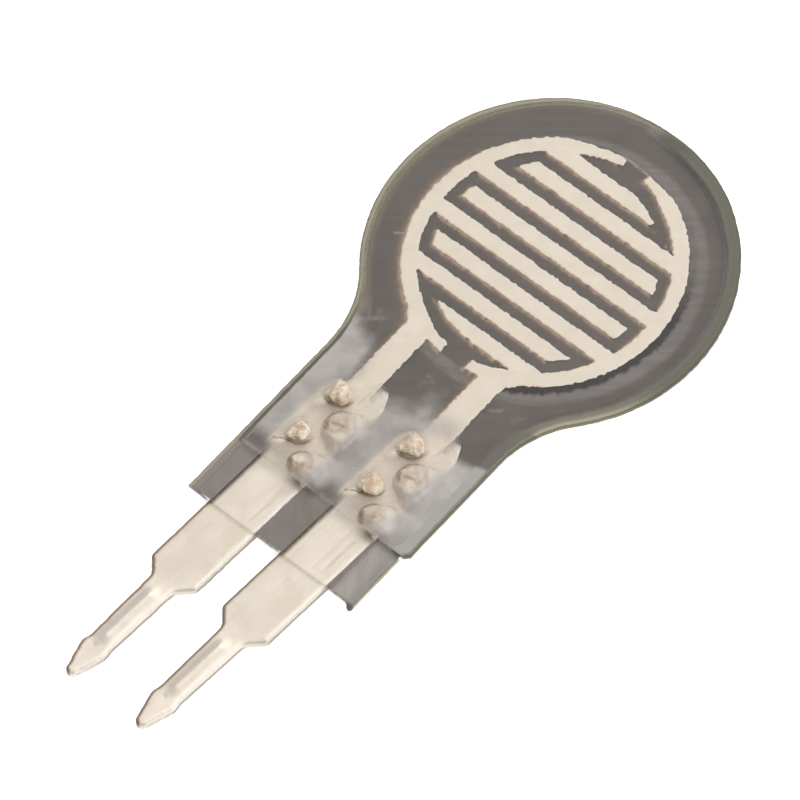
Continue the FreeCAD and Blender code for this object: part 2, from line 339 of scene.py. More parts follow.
# ------------------------------------------------------------------ materials
class Nodes:
    """Small helper to build node trees."""

    def __init__(self, name):
        self.mat = bpy.data.materials.new(name)
        self.mat.use_nodes = True
        self.t = self.mat.node_tree
        self.t.nodes.clear()
        self.out = self.t.nodes.new("ShaderNodeOutputMaterial")

    def node(self, kind, **kw):
        n = self.t.nodes.new(kind)
        ins = kw.pop("ins", {})
        for k, v in kw.items():
            setattr(n, k, v)
        for k, v in ins.items():
            self.put(n.inputs[k], v)
        return n

    def put(self, sock, v):
        if isinstance(v, bpy.types.NodeSocket):
            self.t.links.new(v, sock)
        elif isinstance(v, bpy.types.Node):
            self.t.links.new(v.outputs[0], sock)
        else:
            sock.default_value = v

    def coords(self, scale=1000.0):
        """Object coordinates in mm."""
        tc = self.node("ShaderNodeTexCoord")
        m = self.node("ShaderNodeMapping", ins={"Scale": (scale, scale, scale)})
        self.t.links.new(tc.outputs["Object"], m.inputs["Vector"])
        return m.outputs[0]

    def mapping(self, vec, scale=(1, 1, 1), rot=(0, 0, 0), loc=(0, 0, 0)):
        return self.node("ShaderNodeMapping", ins={"Vector": vec, "Scale": scale, "Rotation": rot, "Location": loc}).outputs[0]

    def noise(self, vec, scale, detail=3.0, rough=0.5, dist=0.0):
        n = self.node("ShaderNodeTexNoise", ins={"Vector": vec, "Scale": scale, "Detail": detail, "Roughness": rough, "Distortion": dist})
        return n.outputs["Fac"]

    def streaks(self, vec, along, across, detail=3.0, rough=0.55, angle=38.5, dist=0.0):
        """Noise drawn out in one direction: frequency per mm along and across it."""
        r = self.mapping(vec, rot=(0, 0, math.radians(-angle)))
        return self.noise(self.mapping(r, scale=(along, across, 1.0)), 1.0, detail, rough, dist)

    def ramp(self, fac, a, b, lo=0.0, hi=1.0, smoothly=True):
        n = self.node("ShaderNodeMapRange", ins={"Value": fac, "From Min": a, "From Max": b, "To Min": lo, "To Max": hi})
        n.interpolation_type = "SMOOTHSTEP" if smoothly else "LINEAR"
        n.clamp = True
        return n.outputs[0]

    def math(self, op, a, b=0.0, c=0.0, clamp=False):
        n = self.node("ShaderNodeMath", operation=op, use_clamp=clamp)
        self.put(n.inputs[0], a)
        self.put(n.inputs[1], b)
        self.put(n.inputs[2], c)
        return n.outputs[0]

    def mix(self, fac, a, b, blend="MIX"):
        n = self.node("ShaderNodeMix", data_type="RGBA", blend_type=blend)
        self.put(n.inputs[0], fac)
        self.put(n.inputs[6], a)
        self.put(n.inputs[7], b)
        return n.outputs[2]

    def attr(self, name):
        return self.node("ShaderNodeAttribute", attribute_name=name, attribute_type="GEOMETRY").outputs["Fac"]

    def sep(self, vec):
        n = self.node("ShaderNodeSeparateXYZ", ins={"Vector": vec})
        return n.outputs

    def bump(self, height, strength, dist):
        return self.node("ShaderNodeBump", ins={"Height": height, "Strength": strength, "Distance": dist}).outputs[0]

    def bsdf(self, **ins):
        return self.node("ShaderNodeBsdfPrincipled", ins={k.replace("_", " "): v for k, v in ins.items()})

    def shader_mix(self, fac, a, b):
        n = self.node("ShaderNodeMixShader")
        self.put(n.inputs[0], fac)
        self.put(n.inputs[1], a)
        self.put(n.inputs[2], b)
        return n.outputs[0]

    def finish(self, shader):
        self.t.links.new(shader if isinstance(shader, bpy.types.NodeSocket) else shader.outputs[0], self.out.inputs["Surface"])
        return self.mat


def rgb(r, g, b):
    """Linear colour of an 8-bit display colour."""
    def f(v):
        v /= 255.0
        return v / 12.92 if v <= 0.04045 else ((v + 0.055) / 1.055) ** 2.4
    return (f(r), f(g), f(b), 1.0)


def film_material(name, end, outermost, gloss):
    """Clear polyester: nearly invisible in the middle, olive towards its cut edge, milky where it is strained.
    outermost: +1 if this film's edge is the outer one on the +X side, -1 on the -X side."""
    m = Nodes(name)
    P = m.coords()
    X, Y, Z = m.sep(P)
    od, lee, frost, painted_shade = m.attr("od"), m.attr("lee"), m.attr("frost"), m.attr("painted_shade")
    outer, warm, tan = m.attr("out"), m.attr("warm"), m.attr("tan")
    fine = m.noise(P, 11.0, 4.0, 0.6)
    cloud = m.noise(P, 1.3, 3.0, 0.5, 0.3)
    streak = m.streaks(P, 0.45, 9.0)
    hair = m.ramp(m.streaks(P, 0.30, 22.0, 2.0, 0.5, 36.0), 0.70, 0.78)
    # surface haze and fine handling marks
    haze = m.math("ADD", 0.010, m.math("MULTIPLY", m.ramp(streak, 0.42, 0.72), 0.008))
    haze = m.math("ADD", haze, m.math("MULTIPLY", hair, 0.012))
    milk = m.math("MULTIPLY", frost, m.ramp(m.math("ADD", m.math("MULTIPLY", cloud, 0.92), m.math("MULTIPLY", streak, 0.08)), 0.30, 0.66, 0.91, 1.03))
    fac = m.math("ADD", haze, milk, clamp=True)
    col = m.mix(m.ramp(cloud, 0.35, 0.65), rgb(184, 178, 174), rgb(193, 187, 181))
    col = m.mix(warm, col, m.mix(m.ramp(cloud, 0.35, 0.65), rgb(226, 214, 198), rgb(232, 222, 208)))
    # domes over the low claws
    lump = m.noise(P, 3.4, 2.0, 0.5, 0.2)
    dome = m.mix(m.ramp(lump, 0.36, 0.64), rgb(183, 166, 149), rgb(204, 188, 171))
    # painted highlight patches on the domes
    dome = m.mix(m.ramp(m.noise(P, 3.6, 2.0, 0.5), 0.56, 0.70, 0.0, 0.8), dome, rgb(224, 211, 198))
    col = m.mix(m.ramp(tan, 0.05, 0.6), col, dome)
    fac = m.math("MAXIMUM", fac, m.math("MULTIPLY", tan, 0.90))
    # painted shadow crescents round the claws and painted shade along the film's folds, in brown
    bz = m.math("MULTIPLY", painted_shade, m.ramp(fine, 0.30, 0.62, 0.72, 1.0))
    col = m.mix(m.ramp(bz, 0.03, 0.70), col, rgb(122, 102, 76))
    fac = m.math("MAXIMUM", fac, m.math("MULTIPLY", bz, 0.86))
    # the rim: olive at the very edge, with a dark line where it is the outer one; tan on one side, greener on the other;
    # further in it takes the tone of the print beside it
    wob = m.math("MULTIPLY", m.math("SUBTRACT", m.noise(P, 2.6, 3.0, 0.6), 0.5), 0.07)
    odw = m.math("ADD", od, wob)
    green = m.ramp(lee, 0.1, 0.9)
    tail = m.ramp(Y, -3.4, -5.2)
    fleck = m.ramp(m.noise(P, 7.0, 3.0, 0.7), 0.58, 0.72)
    tan_c = m.mix(green, rgb(146, 140, 118), rgb(84, 83, 69))
    tan_c = m.mix(m.ramp(fine, 0.35, 0.7, 0.0, 0.35), tan_c, m.mix(green, rgb(164, 157, 134), rgb(96, 96, 80)))
    inner = m.mix(green, rgb(116, 110, 98), rgb(99, 94, 85))
    inner = m.mix(tail, inner, m.mix(m.ramp(frost, 0.05, 0.50), rgb(99, 93, 88), rgb(160, 156, 152)))
    if outermost < 0:
        inner = m.mix(m.ramp(Y, FRONT_END + 0.08, FRONT_END - 0.04), inner, rgb(130, 123, 118))
    w_ol = m.mix(tail, m.mix(green, (0.13, 0.13, 0.13, 1), (0.16, 0.16, 0.16, 1)), (0.085, 0.085, 0.085, 1))
    near = m.math("DIVIDE", odw, w_ol)
    olive = m.mix(m.ramp(near, 0.55, 1.55, 1.0, 0.0), inner, tan_c)
    glow = m.math("MULTIPLY", m.ramp(near, 0.25, 0.55), m.ramp(near, 0.65, 1.10, 1.0, 0.0))
    olive = m.mix(m.math("MULTIPLY", glow, m.mix(green, (0.65, 0.65, 0.65, 1), (0.40, 0.40, 0.40, 1))), olive, m.mix(green, rgb(166, 159, 138), rgb(108, 109, 91)))
    olive = m.mix(m.math("MULTIPLY", fleck, m.math("MULTIPLY", m.ramp(near, 1.3, 0.5), 0.6)), olive, m.mix(green, rgb(170, 163, 142), rgb(112, 113, 95)))
    line = m.ramp(od, 0.008, 0.040, 1.0, 0.0)
    olive = m.mix(m.math("MULTIPLY", line, outer), olive, m.mix(green, rgb(104, 98, 76), rgb(70, 73, 52)))
    olive = m.mix(m.math("MULTIPLY", line, m.math("SUBTRACT", 1.0, outer)), olive, rgb(150, 145, 122))
    reach = m.mix(tail, m.mix(green, (0.36, 0.36, 0.36, 1), (0.46, 0.46, 0.46, 1)), (0.52, 0.52, 0.52, 1))
    band = m.ramp(m.math("DIVIDE", odw, reach), 0.60, 1.0, 1.0, 0.0)
    rimf = m.math("MAXIMUM", m.math("MULTIPLY", m.math("MULTIPLY", band, 0.96), outer), m.math("MULTIPLY", line, m.mix(tail, (0.45, 0.45, 0.45, 1), (0.15, 0.15, 0.15, 1))))
    if outermost < 0:
        # beyond the front film this edge is the only one, and the burr at the corner is dark
        alone = m.math("MULTIPLY", m.ramp(Y, FRONT_END + 0.02, FRONT_END - 0.10), m.ramp(X, 0.0, 1.5))
        rimf = m.math("MAXIMUM", rimf, m.math("MULTIPLY", alone, m.ramp(odw, 0.03, 0.14, 0.92, 0.0)))
        burr = m.math("MULTIPLY", m.ramp(Y, REAR_END + 0.02, REAR_END - 0.03), m.ramp(X, 2.2, 2.5))
        olive = m.mix(burr, olive, rgb(84, 80, 70))
        rimf = m.math("MAXIMUM", rimf, m.math("MULTIPLY", burr, 0.94))
    # the straight cut across the tail
    ed = m.math("ABSOLUTE", m.math("SUBTRACT", Y, end))
    endf = m.math("MULTIPLY", m.ramp(ed, 0.012, 0.05, 1.0, 0.0), m.ramp(fine, 0.3, 0.65, 0.75, 1.2))
    if outermost > 0:
        endf = m.math("MULTIPLY", endf, m.math("MAXIMUM", m.math("MAXIMUM", m.ramp(X, -1.45, -2.0), m.ramp(X, 2.15, 2.45)), 0.10))
        endf = m.math("MULTIPLY", endf, 0.40)
    else:
        # over the strips the print ends just short of the cut and the edge is dark; over the tabs it is faint
        gaps = m.math("MAXIMUM", m.ramp(X, -2.25, -2.35), m.math("MULTIPLY", m.ramp(X, -0.66, -0.56), m.ramp(X, 0.24, 0.16)))
        gaps = m.math("MAXIMUM", gaps, m.ramp(X, 1.84, 1.94))
        endf = m.math("MULTIPLY", endf, m.math("ADD", 0.20, m.math("MULTIPLY", gaps, 0.70)))
    col = m.mix(m.ramp(endf, 0.0, 0.2), col, rgb(190, 182, 156) if outermost > 0 else rgb(138, 130, 112))
    fac = m.math("MAXIMUM", fac, endf)
    hazy = m.math("MULTIPLY", tail, m.ramp(frost, 0.05, 0.50))
    col = m.mix(m.mix(hazy, m.ramp(rimf, 0.0, 0.30), m.ramp(rimf, 0.70, 0.96)), col, olive)
    fac = m.math("MAXIMUM", fac, rimf)
    h = m.math("ADD", m.math("MULTIPLY", streak, 0.15), m.math("MULTIPLY", cloud, 0.85))
    bmp = m.bump(h, 0.22, 0.00002)
    body = m.bsdf(Base_Color=col, Roughness=m.ramp(fine, 0.3, 0.7, 0.42, 0.55), Normal=bmp)
    body.inputs["Specular IOR Level"].default_value = 0.25
    clear = m.node("ShaderNodeBsdfTransparent", ins={"Color": (1, 1, 1, 1)})
    base = m.shader_mix(fac, clear, body)
    gl = m.node("ShaderNodeBsdfGlossy", ins={"Roughness": m.ramp(streak, 0.3, 0.7, 0.22, 0.32), "Normal": bmp, "Color": (1, 1, 1, 1)})
    fres = m.node("ShaderNodeFresnel", ins={"IOR": 1.45, "Normal": bmp})
    k = m.math("MULTIPLY", fres, gloss)
    return m.finish(m.shader_mix(k, base, gl))


def ink_material():
    m = Nodes("carbon_ink")
    P = m.coords()
    X, Y, Z = m.sep(P)
    fine = m.noise(P, 26.0, 3.0, 0.6)
    cloud = m.noise(P, 0.55, 3.0, 0.5)
    streak = m.streaks(P, 0.35, 6.0)
    v = m.math("ADD", m.math("MULTIPLY", cloud, 0.55), m.math("MULTIPLY", streak, 0.45))
    col = m.mix(m.ramp(v, 0.34, 0.66), rgb(82, 75, 70), rgb(92, 85, 80))
    col = m.mix(m.ramp(fine, 0.58, 0.76, 0.0, 0.30), col, rgb(103, 96, 90))
    # painted reflection: the air gap between the ring and the adhesive's opening is a paler veil
    op = m.attr("gap_sheen")
    col = m.mix(m.math("MULTIPLY", op, m.ramp(streak, 0.3, 0.7, 0.50, 0.80)), col, rgb(127, 121, 118))
    # painted light and shade: a soft warm halo on one side of each trace, pale next to it and darker further out, for
    # the trace's reflected light and shadow on the ink below; the attribute is the distance from the traces
    fr = m.math("ADD", m.attr("painted_trace_halo"), m.math("MULTIPLY", m.math("SUBTRACT", fine, 0.5), 0.045))
    col = m.mix(m.ramp(fr, 0.10, 0.27, 0.45, 0.0), col, rgb(94, 80, 71))
    col = m.mix(m.ramp(fr, 0.02, 0.18, 0.92, 0.0), col, rgb(116, 99, 86))
    col = m.mix(m.ramp(fr, -0.03, 0.085, 1.0, 0.0), col, rgb(180, 158, 137))
    # painted shadow: a near-black crescent just outside the ring on one side
    sh = m.attr("shade")
    col = m.mix(m.math("MULTIPLY", sh, 0.95), col, rgb(21, 15, 12))
    # the print thins out towards its rim and takes the film's olive tone
    X0 = m.ramp(X, -1.5, 2.5)
    rd = m.math("ADD", m.attr("rim"), m.math("MULTIPLY", m.math("SUBTRACT", m.noise(P, 3.0, 3.0, 0.6), 0.5), 0.10))
    tone = m.mix(X0, rgb(122, 114, 92), rgb(98, 98, 76))
    thin = m.math("MULTIPLY", m.ramp(rd, -0.02, 0.20, 0.92, 0.0), m.mix(X0, (0.9, 0.9, 0.9, 1), (1, 1, 1, 1)))
    thin = m.math("MULTIPLY", thin, m.ramp(Y, -5.2, -4.0))
    col = m.mix(thin, col, tone)
    sc = m.attr("scratch")
    col = m.mix(sc, col, rgb(186, 180, 172))
    pale = m.attr("pale")
    col = m.mix(m.math("MULTIPLY", pale, m.ramp(m.streaks(P, 3.0, 0.8, 3.0, 0.5), 0.3, 0.7, 0.85, 1.1)), col, rgb(168, 163, 158))
    body = m.bsdf(Base_Color=col, Roughness=m.ramp(fine, 0.3, 0.7, 0.6, 0.8), Normal=m.bump(cloud, 0.10, 0.00001))
    body.inputs["Specular IOR Level"].default_value = 0.15
    clear = m.node("ShaderNodeBsdfTransparent", ins={"Color": (1, 1, 1, 1)})
    wide = m.ramp(m.attr("rim"), 0.10, 0.30, 0.02, 0.035)
    e = m.math("ADD", m.attr("edge"), m.math("MULTIPLY", m.math("SUBTRACT", fine, 0.5), 0.03))
    soft = m.ramp(m.math("DIVIDE", e, wide), 0.0, 1.0)
    return m.finish(m.shader_mix(soft, clear, body))


def adhesive_material():
    m = Nodes("clear_adhesive")
    P = m.coords()
    cloud = m.noise(P, 3.0, 4.0, 0.6, 0.3)
    streak = m.streaks(P, 0.8, 7.0)
    # painted reflection: a lighter band along the adhesive's opening, on one side
    e = m.attr("opening_edge_sheen")
    fac = m.math("ADD", m.ramp(cloud, 0.40, 0.75, 0.0, 0.02), m.math("MULTIPLY", e, m.ramp(streak, 0.35, 0.65, 0.12, 0.24)), clamp=True)
    body = m.bsdf(Base_Color=m.mix(m.ramp(cloud, 0.3, 0.7), rgb(150, 146, 143), rgb(172, 168, 164)), Roughness=m.ramp(cloud, 0.3, 0.7, 0.4, 0.55))
    body.inputs["Specular IOR Level"].default_value = 0.2
    clear = m.node("ShaderNodeBsdfTransparent", ins={"Color": (1, 1, 1, 1)})
    return m.finish(m.shader_mix(fac, clear, body))


def silver_material():
    m = Nodes("silver_ink")
    P = m.coords()
    grain = m.noise(P, 48.0, 3.0, 0.65)
    cloud = m.noise(P, 2.2, 4.0, 0.6)
    col = m.mix(m.ramp(cloud, 0.3, 0.7), rgb(213, 201, 184), rgb(219, 208, 192))
    col = m.mix(m.ramp(grain, 0.56, 0.78, 0.0, 0.45), col, rgb(198, 184, 165))
    col = m.mix(m.ramp(grain, 0.25, 0.40, 0.35, 0.0), col, rgb(227, 217, 203))
    # painted shade in brown along the edges facing against ACROSS, and a painted highlight along the others
    ed, painted_shade_side = m.attr("edge"), m.attr("painted_shade_side")
    col = m.mix(m.math("MULTIPLY", m.ramp(ed, 0.0, 0.055, 0.75, 0.0), painted_shade_side), col, rgb(200, 176, 152))
    painted_edge_highlight = m.math("MULTIPLY", m.ramp(ed, 0.0, 0.09, 0.55, 0.0), m.math("SUBTRACT", 1.0, painted_shade_side))
    col = m.mix(painted_edge_highlight, col, rgb(214, 213, 206))
    rough = m.ramp(grain, 0.3, 0.7, 0.42, 0.60)
    body = m.bsdf(Base_Color=col, Roughness=rough, Normal=m.bump(grain, 0.35, 0.000006), Metallic=0.15)
    # the pads run out under the plates' tips
    X, Y, Z = m.sep(P)
    clear = m.node("ShaderNodeBsdfTransparent", ins={"Color": (1, 1, 1, 1)})
    gone = m.ramp(m.math("ADD", Y, m.math("MULTIPLY", m.math("SUBTRACT", cloud, 0.5), 0.2)), -8.35, -8.75)
    return m.finish(m.shader_mix(gone, body, clear))


def tin_material(name="tinned_metal"):
    m = Nodes(name)
    P = m.coords()
    n = m.node("ShaderNodeTexCoord").outputs["Normal"]
    nx, ny, nz = m.sep(n)
    grain = m.noise(P, 30.0, 4.0, 0.65)
    cloud = m.noise(P, 1.1, 4.0, 0.55, 0.5)
    brush = m.streaks(P, 0.9, 12.0, 4.0, 0.6, 86.0)
    hot, crevice_shade, claw = m.attr("hot"), m.attr("crevice_shade"), m.attr("claw")
    pin = m.ramp(m.sep(P)[1], -13.0, -13.7)
    under = m.ramp(m.sep(P)[1], -10.95, -10.85)
    tab = m.mix(under, rgb(196, 186, 171), rgb(202, 192, 177)), m.mix(under, rgb(203, 194, 181), rgb(209, 200, 187))
    col = m.mix(m.ramp(cloud, 0.32, 0.68), m.mix(pin, tab[0], rgb(208, 198, 184)), m.mix(pin, tab[1], rgb(216, 207, 195)))
    col = m.mix(claw, col, m.mix(m.ramp(m.noise(P, 5.0, 3.0, 0.6, 0.3), 0.35, 0.65), rgb(204, 185, 161), rgb(227, 213, 195)))
    # painted glints on the claws, and painted shade along their fold lines
    painted_glint = m.math("MULTIPLY", claw, m.ramp(m.noise(P, 9.0, 2.0, 0.5, 0.8), 0.54, 0.66, 0.0, 0.80))
    col = m.mix(painted_glint, col, rgb(240, 230, 217))
    crease_shade = m.ramp(m.math("ABSOLUTE", m.math("SUBTRACT", m.noise(P, 6.0, 3.0, 0.55, 0.6), 0.5)), 0.0, 0.028, 0.75, 0.0)
    col = m.mix(m.math("MULTIPLY", claw, crease_shade), col, rgb(176, 148, 118))
    col = m.mix(m.ramp(brush, 0.52, 0.74, 0.0, 0.40), col, rgb(200, 188, 170))
    col = m.mix(m.ramp(grain, 0.62, 0.82, 0.0, 0.30), col, rgb(190, 175, 154))
    speck = m.noise(P, 4.0, 2.0, 0.4, 0.2)
    col = m.mix(m.ramp(speck, 0.73, 0.80, 0.0, 0.45), col, rgb(168, 157, 144))
    # rolled cut edges: painted shade in brown towards one side; towards the other a painted highlight, with the wall
    # painted grey in shade
    w = m.math("MULTIPLY", m.math("ADD", m.math("MULTIPLY", nx, ACROSS[0]), m.math("MULTIPLY", ny, ACROSS[1])), -1.0)
    flank = m.attr("flank")
    roll = m.math("MULTIPLY", m.ramp(w, 0.10, 0.80), flank)
    left_edge_shade = m.math("ADD", m.attr("lefty"), m.math("MULTIPLY", m.math("SUBTRACT", m.noise(P, 3.0, 3.0, 0.6), 0.5), 0.35))
    col = m.mix(m.math("MULTIPLY", m.ramp(left_edge_shade, 0.05, 0.90, 0.0, 0.88), m.ramp(m.attr("lefty"), 0.0, 0.08)), col, rgb(128, 104, 80))
    bright = m.attr("righty")
    col = m.mix(m.math("MULTIPLY", bright, 0.55), col, rgb(232, 225, 216))
    col = m.mix(m.math("MULTIPLY", roll, 0.88), col, rgb(112, 88, 66))
    wall_shade = m.math("MULTIPLY", m.math("MULTIPLY", m.ramp(w, -0.35, -0.8), m.ramp(nz, 0.45, 0.10)), flank)
    col = m.mix(m.math("MULTIPLY", wall_shade, 0.9), col, rgb(126, 124, 121))
    col = m.mix(m.math("MULTIPLY", hot, m.ramp(cloud, 0.4, 0.6, 0.50, 0.80)), col, rgb(192, 148, 116))
    # painted shade in crevices, folds and under the claws
    col = m.mix(m.math("MULTIPLY", crevice_shade, m.mix(claw, (0.85, 0.85, 0.85, 1), (0.58, 0.58, 0.58, 1))), col, rgb(146, 122, 88))
    rough = m.ramp(m.math("ADD", m.math("MULTIPLY", brush, 0.5), m.math("MULTIPLY", grain, 0.5)), 0.35, 0.65, 0.32, 0.46)
    h = m.math("ADD", m.math("MULTIPLY", brush, 0.7), m.math("MULTIPLY", grain, 0.5))
    dull = m.math("MAXIMUM", claw, m.math("MULTIPLY", flank, m.ramp(w, 0.05, 0.40)))
    rough = m.math("MAXIMUM", rough, m.math("MULTIPLY", dull, 0.50))
    body = m.bsdf(Base_Color=col, Roughness=rough, Normal=m.bump(h, 0.30, 0.000010), Metallic=m.mix(dull, (0.45, 0.45, 0.45, 1), (0.10, 0.10, 0.10, 1)))
    return m.finish(body)


def floor_material():
    m = Nodes("pale_floor")
    P = m.coords()
    n = m.noise(P, 0.35, 4.0, 0.5)
    col = m.mix(m.ramp(n, 0.3, 0.7), (0.88, 0.88, 0.88, 1), (0.90, 0.90, 0.90, 1))
    body = m.bsdf(Base_Color=col, Roughness=m.ramp(n, 0.3, 0.7, 0.7, 0.8), Emission_Color=col)
    body.inputs["Emission Strength"].default_value = 0.70
    return m.finish(body)


MAT_FRONT = film_material("polyester_front", FRONT_END, 1, 0.24)
MAT_REAR = film_material("polyester_rear", REAR_END, -1, 0.16)
MAT_INK = ink_material()
MAT_ADH = adhesive_material()
MAT_SILVER = silver_material()
MAT_TIN = tin_material()


# ------------------------------------------------------------------ the claws' places and the film round them
def turned(x, y, cx, cy):
    """Coordinates about a point, across and along the marks' direction."""
    dx, dy = x - cx, y - cy
    return dx * ACROSS[0] + dy * ACROSS[1], dx * ALONG[0] + dy * ALONG[1]


NUGGETS = []                  # (x, y, kind, body radius)
for key, cc in CONTACTS.items():
    for i, (side, foot, at) in enumerate(CLAWS):
        c = place(np.array([foot - side * 0.32, at]), cc)
        NUGGETS.append((float(c[0]), float(c[1]), "A" if side < 0 else "B", {0: 0.40, 1: 0.36, 2: 0.45, 3: 0.38}[i], key, i))


def blob(p, q, rx, ry, soft=0.5):
    return smooth(1.0 + soft, 1.0 - soft, np.hypot(p / rx, q / ry))


def stroke(p, q, pts, w):
    """Soft line along points."""
    return np.exp(-(seg_dist(p, q, pts, closed=False) / w) ** 2)


def arc(p, q, r, a0, a1, w, fade=25.0):
    """Soft arc of a circle about the origin between two angles in degrees."""
    a = np.degrees(np.arctan2(q, p))
    mid, half = 0.5 * (a0 + a1), 0.5 * (a1 - a0)
    off = np.abs((a - mid + 180) % 360 - 180)
    return np.exp(-((np.hypot(p, q) - r) / w) ** 2) * smooth(half + fade, half - fade, off)


def zone(x, y):
    """Where the films are strained and milky."""
    p, q = turned(x, y, 0, 0)
    wob = 0.11 * fbm(p * 0.9, q * 4.0, 21) + 0.12 * fbm(x * 1.2, y * 1.2, 22)
    left = smooth(-1.55, -1.95, x + wob) * smooth(-4.35, -4.95, y + 0.45 * (x + 2.4) + wob * 1.5)
    mid = smooth(-5.55, -6.35, y - 0.35 * (x + 0.6) + wob)
    right = smooth(-5.85, -6.25, y - 0.18 * (x - 2.2) + wob * 0.6)
    z = np.where(x < -1.4, np.maximum(left, mid), np.where(x < 1.5, mid, 0) )
    k = smooth(1.2, 1.9, x)
    z = np.where(x > 1.2, mid * (1 - k) + right * k, z)
    # towards the end of the front film it clears again, unevenly
    low = smooth(-8.35, -8.85, y + wob * 0.6)
    z = z * (1 - low * np.where(x < -1.9, 0.85, np.where(x > 1.9, 0.25, 0.80)))
    return z


def plate_mask(x, y):
    """Soft mask of the part of the front film that has a plate below it."""
    m = np.zeros_like(x)
    for key, cc in CONTACTS.items():
        u, v = unplace(x, y, cc)
        wob = 0.08 * fbm(x * 2.2, y * 2.2, 25)
        left = smooth(-0.98, -0.60, u + wob)
        top = smooth(0.10, -0.25, v - 2.35 + 0.9 * np.maximum(np.abs(u - 0.25) - 0.25, 0) + wob)
        m = np.maximum(m, left * smooth(0.98, 0.80, u + 0.4 * wob) * top)
    return m


def warmth(x, y, d):
    m = plate_mask(x, y)
    for cx, cy, kind, r, key, i in NUGGETS:
        if kind == "B":
            p, q = turned(x, y, cx, cy)
            m = m * (1 - 0.60 * blob(p - 0.32, q + 0.18, 0.60, 0.42, 0.6))
    return m


def milky(x, y, d):
    z = zone(x, y) * (0.64 + 0.14 * smooth(1.5, 2.2, x) + 0.05 * smooth(-1.5, -1.9, x))
    on = plate_mask(x, y)
    for key, cc in CONTACTS.items():       # the plates' left edges stay hidden in the haze
        u, v = unplace(x, y, cc)
        on = on * (1 - smooth(-1.2, -1.0, u) * smooth(-0.50, -0.78, u + 0.05 * fbm(x * 2.5, y * 2.5, 26)))
    gone = smooth(-8.75, -9.0, y)
    z = z * (1 - on) + on * (0.36 - 0.22 * gone)
    for key, cc in CONTACTS.items():
        u, v = unplace(x, y, cc)
        z = np.maximum(z, 0.58 * blob(u + 0.80 + 0.2 * fbm(x * 2, y * 2, 27), v - 2.00 + 0.3 * fbm(x * 1.6, y * 1.6, 28), 0.34, 0.85, 0.8))
    for cx, cy, kind, r, key, i in NUGGETS:
        p, q = turned(x, y, cx, cy)
        if kind == "A":
            z = np.maximum(z, 0.70 * blob(p + 0.56, q + 0.10, 0.26, 0.14, 0.6))
            z = np.maximum(z, 0.30 * blob(p, q, 0.60, 0.60, 0.35))
        else:
            z = np.maximum(z, 0.80 * blob(p - 0.24, q + 0.16, 0.68, 0.46, 0.55))
            z = np.maximum(z, 0.50 * blob(p + 0.02, q + 0.62, 0.26, 0.34, 0.6))
    return np.clip(z, 0, 0.9) * smooth(FRONT_END - 0.02, FRONT_END + 0.04, y)


def domes(x, y, d):
    """Opaque beige skin over the two low claws of each contact."""
    b = np.zeros_like(x)
    for cx, cy, kind, r, key, i in NUGGETS:
        if kind == "A":
            continue
        p, q = turned(x, y, cx, cy)
        n1 = 0.05 * fbm(p * 2.6, q * 2.6, 34 + i)
        rr = np.hypot((p - 0.08) / 1.28, (q - 0.02) / 0.98) + n1
        m = smooth(r + 0.07, r - 0.14, rr) * smooth(0.64, -0.02, p + 0.10 * q) * (0.15 + 0.85 * smooth(-0.46, 0.06, q + 0.1 * p))
        b = np.maximum(b, m * (0.82 + 0.18 * smooth(0.2, -0.3, p)))
    return np.clip(b, 0, 1)


# painted shade and shadow on the front film: crescents and arcs round the claws, shaded folds, and shadow lines along
# the leads
def painted_shade(x, y, d):
    b = np.zeros_like(x)
    n1 = 0.03 * fbm(x * 5, y * 5, 31)
    for cx, cy, kind, r, key, i in NUGGETS:
        p, q = turned(x, y, cx, cy)
        # what stands up appears displaced, so the marks sit where the film meets the metal
        p, q = p + n1, q + n1
        if kind == "A":
            # painted shadow crescent under each tall claw, and a fainter painted shade arc over its top
            q = q - 0.13
            b = np.maximum(b, 0.62 * arc(p, q, r + 0.04, -150, -35, 0.060, 24))
            b = np.maximum(b, 0.22 * arc(p, q, r + 0.06, 60, 175, 0.06, 30))
            if i == 1:
                b = np.maximum(b, 0.70 * stroke(p, q, [(-0.72, -0.16), (-0.42, -0.24), (-0.12, -0.38)], 0.040))
        else:
            # painted shade: dark arcs where each low claw's curl digs back into the film, and shaded folds running off
            # its dome
            left = 0.055 if i == 2 else 0.075
            b = np.maximum(b, 0.90 * arc(p / 1.10, q / 0.97, r - 0.10, 145, 205, left + 0.020, 26))
            b = np.maximum(b, 0.66 * arc(p / 1.10, q / 0.97, r - 0.06, 60, 178, 0.060, 30))
            b = np.maximum(b, 0.20 * arc(p / 1.10, q / 0.97, r - 0.02, 200, 255, 0.07, 25))
            b = np.maximum(b, 0.32 * stroke(p, q, [(0.02, r + 0.01), (0.30, r - 0.03), (0.55, r - 0.15)], 0.065))
            b = np.maximum(b, 0.40 * stroke(p, q, [(-0.24, 0.06), (-0.08, 0.00), (0.07, -0.08)], 0.055))
            if i == 2:
                b = np.maximum(b, 0.20 * stroke(p, q, [(-0.24, -0.46), (-0.18, -0.66), (-0.08, -0.78)], 0.09))
    # painted shadow line along the lead where the plate begins, on each contact
    b = np.maximum(b, 0.50 * stroke(x, y, [(-0.885, -5.56), (-0.915, -6.05), (-0.93, -6.40)], 0.035) * smooth(-6.55, -6.2, y))
    b = np.maximum(b, 0.50 * stroke(x, y, [(1.755, -5.48), (1.70, -6.0), (1.66, -6.32)], 0.035) * smooth(-6.5, -6.1, y))
    return np.clip(b, 0, 1) * smooth(FRONT_END - 0.02, FRONT_END + 0.04, y)


